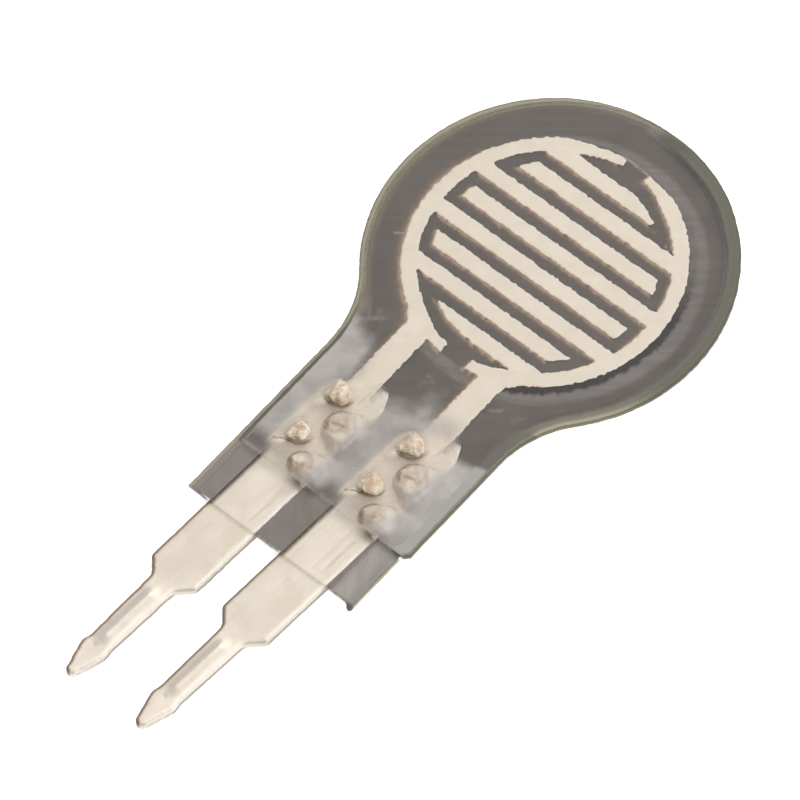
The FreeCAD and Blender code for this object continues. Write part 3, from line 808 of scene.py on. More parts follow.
def rear_milk(x, y, d):
    end = smooth(FRONT_END + 0.02, FRONT_END - 0.06, y)
    f = 0.46 * smooth(2.00, 2.25, x) * end * (0.80 + 0.35 * fbm(x * 3.0, y * 0.8, 33)) * (1 - 0.5 * smooth(2.55, 2.80, x))
    f = np.maximum(f, 0.22 * end * smooth(-9.9, -9.2, y) * smooth(-0.5, -0.1, x) * smooth(0.6, 0.3, x))
    f = np.maximum(f, 0.40 * stroke(x, y, [(-0.16, -9.78), (-0.02, -9.86), (0.02, -9.95)], 0.03))
    return np.clip(f, 0, 1)


def rim_dist(loop, end):
    p = np.asarray(loop, float)
    cut = np.nonzero(p[:, 1] <= end + 0.03)[0]
    run = np.roll(p, -(cut[-1] + 1), axis=0)[:len(p) - len(cut)]
    a = np.r_[[[run[0][0], end - 0.2]], run, [[run[-1][0], end - 0.2]]]
    return lambda x, y, d: np.minimum(seg_dist(x, y, a, closed=False), 0.9)


def lee_mask(c):
    """1 on the side that faces ACROSS, where the rim is greener and darker."""
    def f(x, y, d):
        n = np.where(y > -4.2, (x - c[0]) / HEAD_R * ACROSS[0] + (y - c[1]) / HEAD_R * ACROSS[1], np.sign(x - c[0]) * 0.8)
        n = n + 0.10 * fbm(x * 0.8, y * 0.8, 35)
        return np.where(y > -4.2, smooth(0.10, 0.85, n), 0.60 * smooth(0, 0.6, n))
    return f


def out_mask(c, sign):
    """1 where this film's edge lies outside the other's."""
    ox, oy = FRONT_C[0] - REAR_C[0], FRONT_C[1] - REAR_C[1]
    k = sign / math.hypot(ox, oy)

    def f(x, y, d):
        n = np.where(y > -4.2, ((x - c[0]) * ox + (y - c[1]) * oy) * k / HEAD_R, np.sign(x - c[0]) * sign)
        return smooth(-0.45, -0.05, n)
    return f


# ------------------------------------------------------------------ film relief round the claws
def film_lift(x, y):
    """How far the front film stands up round the claws, in mm."""
    z, zb = np.zeros_like(x), np.zeros_like(x)
    for cx, cy, kind, r, key, i in NUGGETS:
        p, q = turned(x, y, cx, cy)
        rr = np.hypot(p, q)
        if kind == "A":
            z = np.maximum(z, 0.040 * np.exp(-((rr - r - 0.04) / 0.10) ** 2))
            z = np.maximum(z, 0.075 * np.exp(-((p + 0.55) / 0.20) ** 2 - ((q + 0.12) / 0.09) ** 2))
            z = np.maximum(z, 0.04 * np.exp(-(np.maximum(rr - r, 0) / 0.22) ** 2))
        else:
            a = np.degrees(np.arctan2(q, p))
            edge = r + 0.03 * vnoise(a / 34.0, a * 0 + i, 45)
            lean = smooth(-0.3, 0.8, (0.75 * p - 0.66 * q) / np.maximum(rr, 0.05))
            dome = smooth(edge + 0.10 + 0.42 * lean, edge - 0.03, rr)
            tail = np.exp(-(np.maximum(p - 0.12, 0) / 0.46) ** 2) * np.exp(-((q - 0.02) / (r * 0.85)) ** 2) * (p > -0.2) * 0.72
            body = np.maximum(dome, tail)
            lump = 1 + 0.10 * fbm(x * 3.0, y * 3.0, 46 + i) + 0.05 * fbm(x * 6.5, y * 6.5, 56 + i) - 0.04 * stroke(p, q, [(-0.20, 0.05), (0.0, -0.05)], 0.07)
            zb = np.maximum(zb, 0.325 * body * lump)
            fold = stroke(p, q, [(0.05, r + 0.02), (0.30, r - 0.01), (0.55, r - 0.12)], 0.075)
            zb = np.maximum(zb, 0.045 * fold)
            zb = np.maximum(zb, 0.030 * stroke(p, q, [(-0.20, -0.40), (-0.16, -0.66), (-0.04, -0.84)], 0.10))
    zb = zb * (0.48 + 0.52 * smooth(FRONT_END, FRONT_END + 0.26, y))
    z = np.maximum(z * (1 + 0.22 * fbm(x * 4.5, y * 4.5, 41)), zb)
    z += 0.010 * fbm(x * 1.3, y * 1.3, 43) * smooth(-5.0, -6.0, y)
    return np.maximum(z, -0.004)


def slit_loop(side, foot, at, cc):
    x0, x1 = sorted((foot, foot - side * 0.15))
    h = CLAW_LEN / 2
    lp = line_pts((x0, at - h), (x1, at - h), 0.06) + line_pts((x1, at - h), (x1, at + h), 0.06) + line_pts((x1, at + h), (x0, at + h), 0.06) + line_pts((x0, at + h), (x0, at - h), 0.06)
    return place(np.array(lp), cc)


slits, slits_a = [], []
for cc in CONTACTS.values():
    for side, foot, at in CLAWS:
        slits.append(slit_loop(side, foot, at, cc))
        if side < 0:
            slits_a.append(slits[-1])


def build_films():
    # rear film, with the burr at the right corner of its tail
    rear = roughen(keyhole(REAR_C, HEAD_R, TAIL_HALF, NECK_R, REAR_END, 0.06), 0.020, 2.6, 3)
    bx = REAR_C[0] + TAIL_HALF
    w = np.exp(-((rear[:, 0] - (bx - 0.08)) / 0.12) ** 2) * (rear[:, 1] < REAR_END + 0.05)
    rear[:, 1] -= 0.16 * w
    g = np.vstack([grid_pts(-5.1, 5.1, -11.0, 5.2, 0.30, 5), grid_pts(-3.0, 3.0, -11.1, -9.0, 0.10, 6)])

    def zt(x, y, d):
        return Z_INK - (0.012 - np.minimum(d, 0.012)) * 0.8 - smooth(FRONT_END - 0.1, FRONT_END - 0.5, y) * 0.010 * np.abs(fbm(x * 1.3, y * 1.3, 61))

    def zb(x, y, d):
        return 0.0005 + 0.006 * (0.012 - np.minimum(d, 0.012)) / 0.012 + 0 * x

    ob = plate_mesh("film_rear", [rear] + slits, g, zt, zb, rings=(0.02, 0.06, 0.13, 0.26),
                    attrs={"od": rim_dist(rear, REAR_END), "lee": lee_mask(REAR_C), "out": out_mask(REAR_C, -1), "frost": rear_milk},
                    below={"frost": 0.0})
    ob.data.materials.append(MAT_REAR)
    shade(ob)
    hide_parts("rear_film")
    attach(ob, "root")

    # front film
    front = roughen(keyhole(FRONT_C, HEAD_R, TAIL_HALF, NECK_R, FRONT_END, 0.06, 0.0, FRONT_CORNER), 0.020, 2.6, 4)
    fine, wide = grid_pts(-2.9, 3.2, -9.1, -5.2, 0.027, 8), grid_pts(-2.9, 3.2, -9.1, -4.7, 0.060, 16)
    nf, nw = (np.min([np.hypot(p[:, 0] - c[0] - 0.08, p[:, 1] - c[1]) for c in NUGGETS], axis=0) for p in (fine, wide))
    g = np.vstack([grid_pts(-4.9, 5.3, -4.9, 5.2, 0.20, 7), fine[nf < 0.62], wide[nw >= 0.62]])

    def dip(x, y):
        r = np.hypot(x - OPEN_C[0], y - OPEN_C[1])
        return -0.010 * smooth(OPEN_R + 0.12, OPEN_R - 0.20, r)

    def ft(x, y, d):
        e = 0.014
        return np.minimum(Z_TOP - (e - np.minimum(d, e)) * 0.8 + np.where(y < -4.6, film_lift(x, y), 0) * smooth(-4.6, -5.2, y) * smooth(0.0, 0.12, d) + dip(x, y), 0.722)

    def fb(x, y, d):
        return Z_FRONT + 0.0005 + np.where(y < -4.6, np.maximum(film_lift(x, y), 0), 0) * smooth(-4.6, -5.2, y) * smooth(0.0, 0.12, d) * 0.9

    ob = plate_mesh("film_front", [front] + slits_a, g, ft, fb, rings=(0.02, 0.06, 0.13, 0.26),
                    attrs={"od": rim_dist(front, FRONT_END), "lee": lee_mask(FRONT_C), "out": out_mask(FRONT_C, 1), "frost": milky, "painted_shade": painted_shade,
                           "warm": warmth, "tan": domes},
                    below={"frost": 0.0, "painted_shade": 0.0, "tan": 0.0})
    ob.data.materials.append(MAT_FRONT)
    shade(ob, 50)
    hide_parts("front_film")
    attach(ob, "root")


# ------------------------------------------------------------------ electrodes
H = 0.025
GX0, GX1, GY0, GY1 = -4.2, 4.2, -9.2, 4.2
gx = np.arange(GX0, GX1 + H / 2, H)
gy = np.arange(GY0, GY1 + H / 2, H)
GX, GY = np.meshgrid(gx, gy)


def blur(F, sigma):
    n = int(3 * sigma / H) + 1
    k = np.exp(-0.5 * (np.arange(-n, n + 1) * H / sigma) ** 2)
    k /= k.sum()
    P = np.pad(F, n, mode="edge")
    P = np.apply_along_axis(lambda r: np.convolve(r, k, mode="valid"), 1, P)
    return np.apply_along_axis(lambda r: np.convolve(r, k, mode="valid"), 0, P)


def comb_field(side):
    x, y = GX, GY
    r = np.hypot(x, y)
    g_top = -0.29 if side < 0 else 0.46
    g_bot = -0.37 if side < 0 else 0.46
    gap = np.where(y > 0, g_top, g_bot)
    # the ring thins towards its ends
    a = np.degrees(np.arctan2(y, x))
    if side < 0:
        w_out, w_in = 0.085 * smooth(126, 106, a) * (a > 0), 0.090 * smooth(113, 97, a) * (a > 0) + 0.115 * smooth(-118, -101, a) * (a < 0)
    else:
        w_out, w_in = 0.080 * smooth(66, 78, a) * (a < 120), 0.100 * smooth(64, 78, a) * (a > 0) + 0.115 * smooth(-64, -79, a) * (a < 0)
    F = np.maximum(np.maximum(r - RING_R + w_out, RING_IN + w_in - r), side * (gap - x))
    for f in range(8):
        if (-1 if f % 2 == 0 else 1) != side:
            continue
        y1 = 3.014 - 0.8065 * f
        y0 = y1 - 0.448
        band = np.maximum(y - y1, y0 - y)
        own = np.maximum(band, np.maximum(-side * x, r - (RING_R - 0.08)))
        free = np.maximum(band, np.maximum(side * x - 0.02, r - FREE_R))
        F = np.minimum(F, np.minimum(own, free))
    lx = side * 1.27
    F = np.minimum(F, sd_box(x, y, lx - 0.382, lx + 0.382, -8.9, -3.35))
    # the corner where the ring runs into the lead
    ax, ay, bx, by = side * 2.06, -3.17, side * (1.27 + 0.382), -3.60
    nx, ny = (by - ay), -(bx - ax)
    ln = math.hypot(nx, ny)
    nx, ny = nx / ln, ny / ln
    s = (x - ax) * nx + (y - ay) * ny
    if (0 - ax) * nx + (0 - ay) * ny > 0:
        s = -s
    wedge = np.maximum(np.maximum(s, RING_IN + 0.1 - r), np.maximum(side * x - 2.06, -(side * x) + 1.0))
    wedge = np.maximum(wedge, np.maximum(-3.60 - y, y + 3.0))
    F = np.minimum(F, wedge)
    # pad under the claws
    u, v = unplace(x, y, CONTACTS["left" if side < 0 else "right"])
    pad = np.maximum(sd_box(u, v, -0.865, 0.80, -0.96, 1.95), (np.abs(u + 0.03) + (v - 1.95) - 0.62) / 1.414)
    F = np.minimum(F, pad)
    F = blur(F, 0.030)
    F = F + 0.006 * fbm(x * 5.2, y * 5.2, 51 + side) + 0.026 * vnoise(x * 13, y * 13, 53)
    return F


FIELD = {s: comb_field(s) for s in (-1, 1)}


def sample(F, x, y):
    fx = np.clip((np.asarray(x) - GX0) / H, 0, F.shape[1] - 1.001)
    fy = np.clip((np.asarray(y) - GY0) / H, 0, F.shape[0] - 1.001)
    ix, iy = fx.astype(int), fy.astype(int)
    ax, ay = fx - ix, fy - iy
    return (F[iy, ix] * (1 - ax) + F[iy, ix + 1] * ax) * (1 - ay) + (F[iy + 1, ix] * (1 - ax) + F[iy + 1, ix + 1] * ax) * ay


def trace_field(x, y):
    return np.minimum(sample(FIELD[-1], x, y), sample(FIELD[1], x, y))


def painted_shade_side(x, y, d):
    """1 where the nearest edge of the print faces against ACROSS: the side painted in shade."""
    a = sample(FIELD[-1], x - 0.05 * ACROSS[0], y - 0.05 * ACROSS[1]), sample(FIELD[-1], x + 0.05 * ACROSS[0], y + 0.05 * ACROSS[1])
    b = sample(FIELD[1], x - 0.05 * ACROSS[0], y - 0.05 * ACROSS[1]), sample(FIELD[1], x + 0.05 * ACROSS[0], y + 0.05 * ACROSS[1])
    return smooth(-0.03, 0.03, np.minimum(a[0], b[0]) - np.minimum(a[1], b[1]))


def build_electrodes():
    for side, name, node in ((-1, "trace_left", "electrode_left"), (1, "trace_right", "electrode_right")):
        F = FIELD[side].copy()
        loops = [thin(l, 0.012) for l in contours(F, GX0, GY0, H)]
        loops.sort(key=len, reverse=True)
        loops = [l for l in loops if len(l) > 30]
        ss = [s for s in slits if np.sign(s[:, 0].mean() + 0.05) == side]
        outer = loops[:1]
        inner_ok = [s for s in ss if np.all(sample(F, s[:, 0], s[:, 1]) < -0.03)]
        g = grid_pts(-4, 4, -9, 4, 0.12, 9 + side)
        ob = plate_mesh(name, outer + inner_ok, g, lambda x, y, d: 0 * x + Z_FRONT - 0.0015, lambda x, y, d: 0 * x + Z_FRONT - TRACE_T,
                        rings=(0.05, 0.10), attrs={"edge": lambda x, y, d: np.minimum(d, 0.3), "painted_shade_side": painted_shade_side})
        ob.data.materials.append(MAT_SILVER)
        shade(ob)
        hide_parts(node)
        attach(ob, "root")
        ob.visible_shadow = False      # the film scatters light into the narrow gap below, which casts no hard shadow
        print(name, len(loops), [len(l) for l in loops][:6], len(ob.data.polygons))


# ------------------------------------------------------------------ ink and adhesive
def contact_side(extra=0.0):
    h, f = 0.83 + extra, 2.63 + extra
    return [(h - 0.30, f), (h, f - 0.56), (h, -5.02), (0.45, -5.41), (0.42, -5.53), (0.375, -7.72), (0.43, -8.00), (0.41, -8.08)]


SCRATCHES = [((-3.70, -1.79), (-3.50, -1.64), 0.018), ((2.16, 2.36), (2.22, 2.32), 0.025), ((2.32, 2.29), (2.34, 2.25), 0.020)]


def build_ink():
    """The carbon print: it covers the rear film up to its rim, and leaves the two plates clear."""
    base = keyhole(INK_C, INK_R, INK_TAIL_HALF, INK_NECK_R, INK_END, 0.06)
    X, Y = np.meshgrid(np.arange(-5.2, 5.2, 0.03), np.arange(-11.2, 5.2, 0.03))
    F = np.where(inside(X, Y, base), -1.0, 1.0) * seg_dist(X, Y, base[::2])
    F = F + 0.014 * fbm(X * 2.2, Y * 2.2, 72)
    for cc in CONTACTS.values():
        u, v = unplace(X - WINDOW_SHIFT[0], Y - WINDOW_SHIFT[1], cc)
        w = np.maximum(sd_box(u, v, -0.775, 0.775, -4.5, 2.58), (np.abs(u) + (v - 2.58) * 0.536 - 0.46) / 1.13)
        F = np.maximum(F, -w)
    F = F + 0.008 * fbm(X * 6, Y * 6, 71)
    loops = [thin(l, 0.02) for l in contours(F, -5.2, -11.2, 0.03)]
    loops.sort(key=len, reverse=True)
    loops = [l for l in loops if len(l) > 40]

    def dark(x, y, d):
        # painted shadow: the film bends down off the ring here, and the gap beside it is painted dark on one side
        r = np.hypot(x, y)
        a = np.degrees(np.arctan2(y, x))
        rag = 0.045 * fbm(a * 0.34, r * 0 + 2, 77, 4) + 0.03 * vnoise(a * 1.1, r * 0, 79)
        ring = smooth(RING_R + 0.25 + rag, RING_R + 0.15 + rag, r) * smooth(RING_R - 0.10, RING_R - 0.02, r)
        side = smooth(-76, -70, a) * (0.22 + 0.78 * smooth(40, 8, a)) * smooth(72, 50, a)
        faint = 0.22 * smooth(RING_R + 0.24, RING_R + 0.14, r) * smooth(RING_R - 0.05, RING_R + 0.02, r) * smooth(60, 35, a) * smooth(-30, 10, a)
        return np.clip(np.maximum(ring * side, faint), 0, 1)

    def painted_trace_halo(x, y, d):
        # painted halo of light and shade on one side of each trace
        def at(k):
            return trace_field(np.clip(x + k * ACROSS[0], -4.1, 4.1), np.clip(y + k * ACROSS[1], -9.1, 4.1))
        faces = smooth(0.0, 0.085, at(-0.08) - at(0.08))
        soft = 0.030 * fbm(x * 2.5, y * 2.5, 78)
        near = np.clip(at(0.0) - soft, -0.05, 0.5)
        r = np.hypot(x, y)
        near = near * (1 - 0.40 * smooth(RING_R - 0.10, RING_R + 0.02, r) * smooth(0.25, 0.60, -(x * ACROSS[0] + y * ACROSS[1]) / np.maximum(r, 0.1)) * (y > -3.9))
        return np.clip(near + 0.4 * (1 - faces) + 0.4 * smooth(-5.8, -6.1, y) + 0.4 * dark(x, y, d), -0.05, 0.5)

    def air_gap_sheen(x, y, d):
        # painted reflection: the air gap is painted a little paler than where the adhesive couples the two films
        ro = np.hypot(x - OPEN_C[0], y - OPEN_C[1])
        r = np.hypot(x, y)
        a = np.degrees(np.arctan2(y, x))
        w = 0.05 * fbm(a * 0.12, 0 * a, 83)
        f = smooth(OPEN_R + 0.06 + w, OPEN_R - 0.10 + w, ro) * smooth(RING_R - 0.05, RING_R + 0.02, r)
        f = f * (0.70 + 0.30 * np.maximum(smooth(-120, -90, a) * smooth(20, -10, a), smooth(30, 60, a) * smooth(110, 80, a)))
        f = f * np.where(a < -122, smooth(-150, -122, a) * 0.5 + 0.5, 1)
        return f * smooth(-4.4, -4.1, y)

    def scratch(x, y, d):
        f = np.zeros_like(x)
        for p, q, w in SCRATCHES:
            f = np.maximum(f, 0.42 * np.exp(-(seg_dist(x, y, [p, q], closed=False) / w) ** 2))
        # thin line where the ring is interrupted
        r, a = np.hypot(x, y), np.degrees(np.arctan2(y, x))
        f = np.maximum(f, 0.62 * np.exp(-((r - 3.735 - 0.0025 * (a - 84)) / 0.026) ** 2) * smooth(100, 96, a) * smooth(70, 78, a))
        # the line of the adhesive's edge between the leads, and rubbed marks beside them
        f = np.maximum(f, 0.12 * stroke(x, y, [(-0.85, -3.98), (-0.3, -4.06), (0.35, -4.09), (0.85, -4.03)], 0.022))
        p, q = turned(x, y, 0, 0)
        rub = smooth(0.35, 0.80, fbm(p * 1.1, q * 7.0, 91)) * 0.34
        at = np.maximum(blob(x - 2.05, y + 4.25, 0.75, 0.7, 0.5), blob(x + 0.2, y + 5.0, 0.5, 0.6, 0.6))
        at = np.maximum(at, 0.8 * blob(x + 2.35, y + 4.3, 0.5, 0.6, 0.6))
        return np.clip(np.maximum(f, rub * at), 0, 1)

    def pale(x, y, d):
        end = smooth(FRONT_END + 0.20, FRONT_END + 0.08, y)
        f = end * np.where(x < -1.4, 0.44, 0.36)
        f = np.maximum(f, 0.84 * smooth(1.90, 2.20, x) * end * (1 - 0.20 * smooth(2.45, 2.70, x)))
        f = np.maximum(f, 0.46 * end * smooth(-9.75, -9.1, y) * smooth(-0.5, -0.1, x) * smooth(0.6, 0.3, x))
        f = np.maximum(f, 0.30 * stroke(x, y, [(-0.16, -9.78), (-0.02, -9.86), (0.02, -9.95)], 0.03))
        return np.clip(f, 0, 1)

    # the streaks need points to sit on, and so do the painted halos along the traces
    near, far = grid_pts(-4.12, 4.12, -6.2, 4.12, 0.040, 11), grid_pts(-4.5, 4.6, -5.8, 4.5, 0.085, 15)
    sn, sf = (trace_field(np.clip(p[:, 0], -4.15, 4.15), np.clip(p[:, 1], -9.1, 4.15)) for p in (near, far))
    g = [near[(sn > -0.09) & (sn < 0.20)], far[sf >= 0.20], grid_pts(-5, 5.1, -11, 5.1, 0.22, 12)]
    for p, q, w in SCRATCHES:
        g.append(np.array(line_pts(p, q, 0.02)))
    g = np.vstack(g)
    made = []
    for i, l in enumerate(loops):
        ob = plate_mesh("carbon_print" if i == 0 else "carbon_print_%d" % i, [l], g, lambda x, y, d: 0 * x + Z_SPACER - 0.001, lambda x, y, d: 0 * x + Z_INK + 0.0005,
                        rings=(0.03, 0.06, 0.12, 0.2, 0.3), attrs={"edge": lambda x, y, d: np.minimum(d, 0.4), "rim": lambda x, y, d: np.minimum(seg_dist(x, y, base), 0.6), "painted_trace_halo": painted_trace_halo, "shade": dark, "gap_sheen": air_gap_sheen, "scratch": scratch, "pale": pale})
        ob.data.materials.append(MAT_INK)
        made.append(ob)
    main = made[0]
    if len(made) > 1:
        bpy.ops.object.select_all(action="DESELECT")
        for o in made:
            o.select_set(True)
        bpy.context.view_layer.objects.active = main
        bpy.ops.object.join()
    shade(main)
    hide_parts("sensing_ink")
    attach(main, "root")
    print("ink loops", [len(l) for l in loops], len(main.data.polygons))


def build_spacer():
    outer = keyhole(FRONT_C, HEAD_R - 0.01, TAIL_HALF - 0.01, NECK_R, FRONT_END + 0.01, 0.08, 0.0, FRONT_CORNER)
    hole = np.array(arc_pts(OPEN_C, OPEN_R, 0, 2 * math.pi, 0.05))
    a = np.arctan2(hole[:, 1], hole[:, 0])
    hole = hole + 0.012 * np.c_[np.cos(a), np.sin(a)] * fbm(a * 6, a * 0, 81)[:, None]
    g = grid_pts(-4.9, 5.3, -9.1, 5.2, 0.18, 13)
    near = arc_pts(OPEN_C, OPEN_R + 0.05, 0, 2 * math.pi, 0.06) + arc_pts(OPEN_C, OPEN_R + 0.09, 0, 2 * math.pi, 0.06) + arc_pts(OPEN_C, OPEN_R + 0.14, 0, 2 * math.pi, 0.08)
    g = np.vstack([g, np.array(near)])

    # painted reflection band along the inner edge of the adhesive's opening, on one side
    def opening_edge_sheen(x, y, d):
        r = np.hypot(x - OPEN_C[0], y - OPEN_C[1])
        a = np.degrees(np.arctan2(y - OPEN_C[1], x - OPEN_C[0]))
        side = smooth(-122, -108, a) * smooth(-40, -70, a) * 0.6
        w = 0.03 * fbm(a * 0.15, 0 * a, 84)
        return np.exp(-((r - OPEN_R - 0.055 - w) / 0.07) ** 2) * side

    ss = [s for s in slits]
    ob = plate_mesh("adhesive_layer", [outer, hole] + ss, g, lambda x, y, d: 0 * x + Z_FRONT - TRACE_T - 0.001, lambda x, y, d: 0 * x + Z_SPACER + 0.0005, attrs={"opening_edge_sheen": opening_edge_sheen})
    ob.data.materials.append(MAT_ADH)
    shade(ob)
    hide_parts("spacer_adhesive")
    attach(ob, "root")


# ------------------------------------------------------------------ contacts
TIP, TIP_R = -8.96, 0.20
SHAPE = {("left", 0): (1.08, 1.10, 1.0), ("left", 1): (0.98, 0.88, 0.78), ("right", 0): (1.08, 1.06, 1.0), ("right", 1): (1.04, 1.02, 0.92),
         ("left", 2): (0.95, 0.95, 0.36), ("left", 3): (0.86, 0.64, 0.36), ("right", 2): (0.95, 0.95, 0.36), ("right", 3): (0.86, 0.64, 0.36)}


def contact_outline(seed):
    side = contact_side()
    a = [-0.10, -0.35, -0.6, -0.9, -1.2, -1.45]
    tip = [(TIP_R * math.cos(t), TIP + TIP_R + TIP_R * math.sin(t)) for t in a]
    right = side + tip
    left = [(-x, y) for x, y in reversed(right)]
    # notches where the left-hand claws were bent up
    out = []
    poly = right + [(0.0, TIP)] + left
    for p, q in zip(poly, poly[1:] + poly[:1]):
        if p[0] == q[0] == -0.83 and q[1] > p[1]:
            out.append(p)
            for at in (-0.02, 1.50):
                out += [(-0.83, at - 0.36), (-0.525, at - 0.36), (-0.525, at + 0.36), (-0.83, at + 0.36)]
        else:
            out.append(p)
    pts = []
    for p, q in zip(out, out[1:] + out[:1]):
        pts += line_pts(p, q, 0.045)
    pts = np.array(pts)
    # round the corners a little
    for _ in range(2):
        pts = 0.25 * np.roll(pts, 1, axis=0) + 0.5 * pts + 0.25 * np.roll(pts, -1, axis=0)
    return pts[::-1] if np.sum(pts[:, 0] * np.roll(pts[:, 1], -1) - np.roll(pts[:, 0], -1) * pts[:, 1]) < 0 else pts


def claw_mesh(side, foot, at):
    """Curled claw in the contact's own frame: a strip swept up and over; build_contact then hammers it into a lump."""
    s = -side
    ro, t0 = 0.32, 0.15
    rm = ro - t0 / 2
    zc = Z_TOP + 0.085
    path = []
    x0 = foot + s * t0 / 2
    for z in np.linspace(-0.12, zc, 9)[:-1]:
        path.append((x0, z, None))
    xc = foot + s * ro
    for a in np.linspace(180, -62, 34):
        r = rm * (1.0 - 0.22 * float(smooth(70, -60, a)))
        path.append((xc + s * r * math.cos(math.radians(a)), zc + r * math.sin(math.radians(a)), a))
    n, k = len(path), 24
    V, F = [], []
    for i, (px, pz, a) in enumerate(path):
        f = i / (n - 1)
        half = (CLAW_LEN / 2) * (1.0 - 0.42 * float(smooth(0.35, 1.0, f)))
        th = t0 * (1.0 + 1.40 * float(smooth(0.24, 0.52, f)) - 0.25 * float(smooth(0.8, 1.0, f))) / 2
        if a is None:
            nx, nz = -s, 0.0
        else:
            nx, nz = s * math.cos(math.radians(a)), math.sin(math.radians(a))      # outwards from the curl's centre
        e = 0.55 + 0.40 * float(smooth(0.2, 0.45, f))
        push = t0 / 2 - th                           # the thick part grows inwards
        for j in range(k):
            q = 2 * math.pi * j / k
            c, d = math.cos(q), math.sin(q)
            yy = half * math.copysign(abs(c) ** e, c)
            tt = th * math.copysign(abs(d) ** e, d) + push
            V.append([px + nx * tt, at + yy, pz + nz * tt])
    for i in range(n - 1):
        for j in range(k):
            a, b = i * k + j, i * k + (j + 1) % k
            F.append((a, b, b + k, a + k))
    V = np.array(V)
    m0 = V[:k].mean(axis=0)
    m1 = V[-k:].mean(axis=0)
    end_dir = m1 - V[-2 * k:-k].mean(axis=0)
    end_dir /= np.linalg.norm(end_dir)
    V = np.vstack([V, m0, m1 + end_dir * 0.05])
    b0, b1 = n * k, n * k + 1
    for j in range(k):
        F.append((b0, (j + 1) % k, j))
        F.append((b1, (n - 1) * k + j, (n - 1) * k + (j + 1) % k))
    return V, F


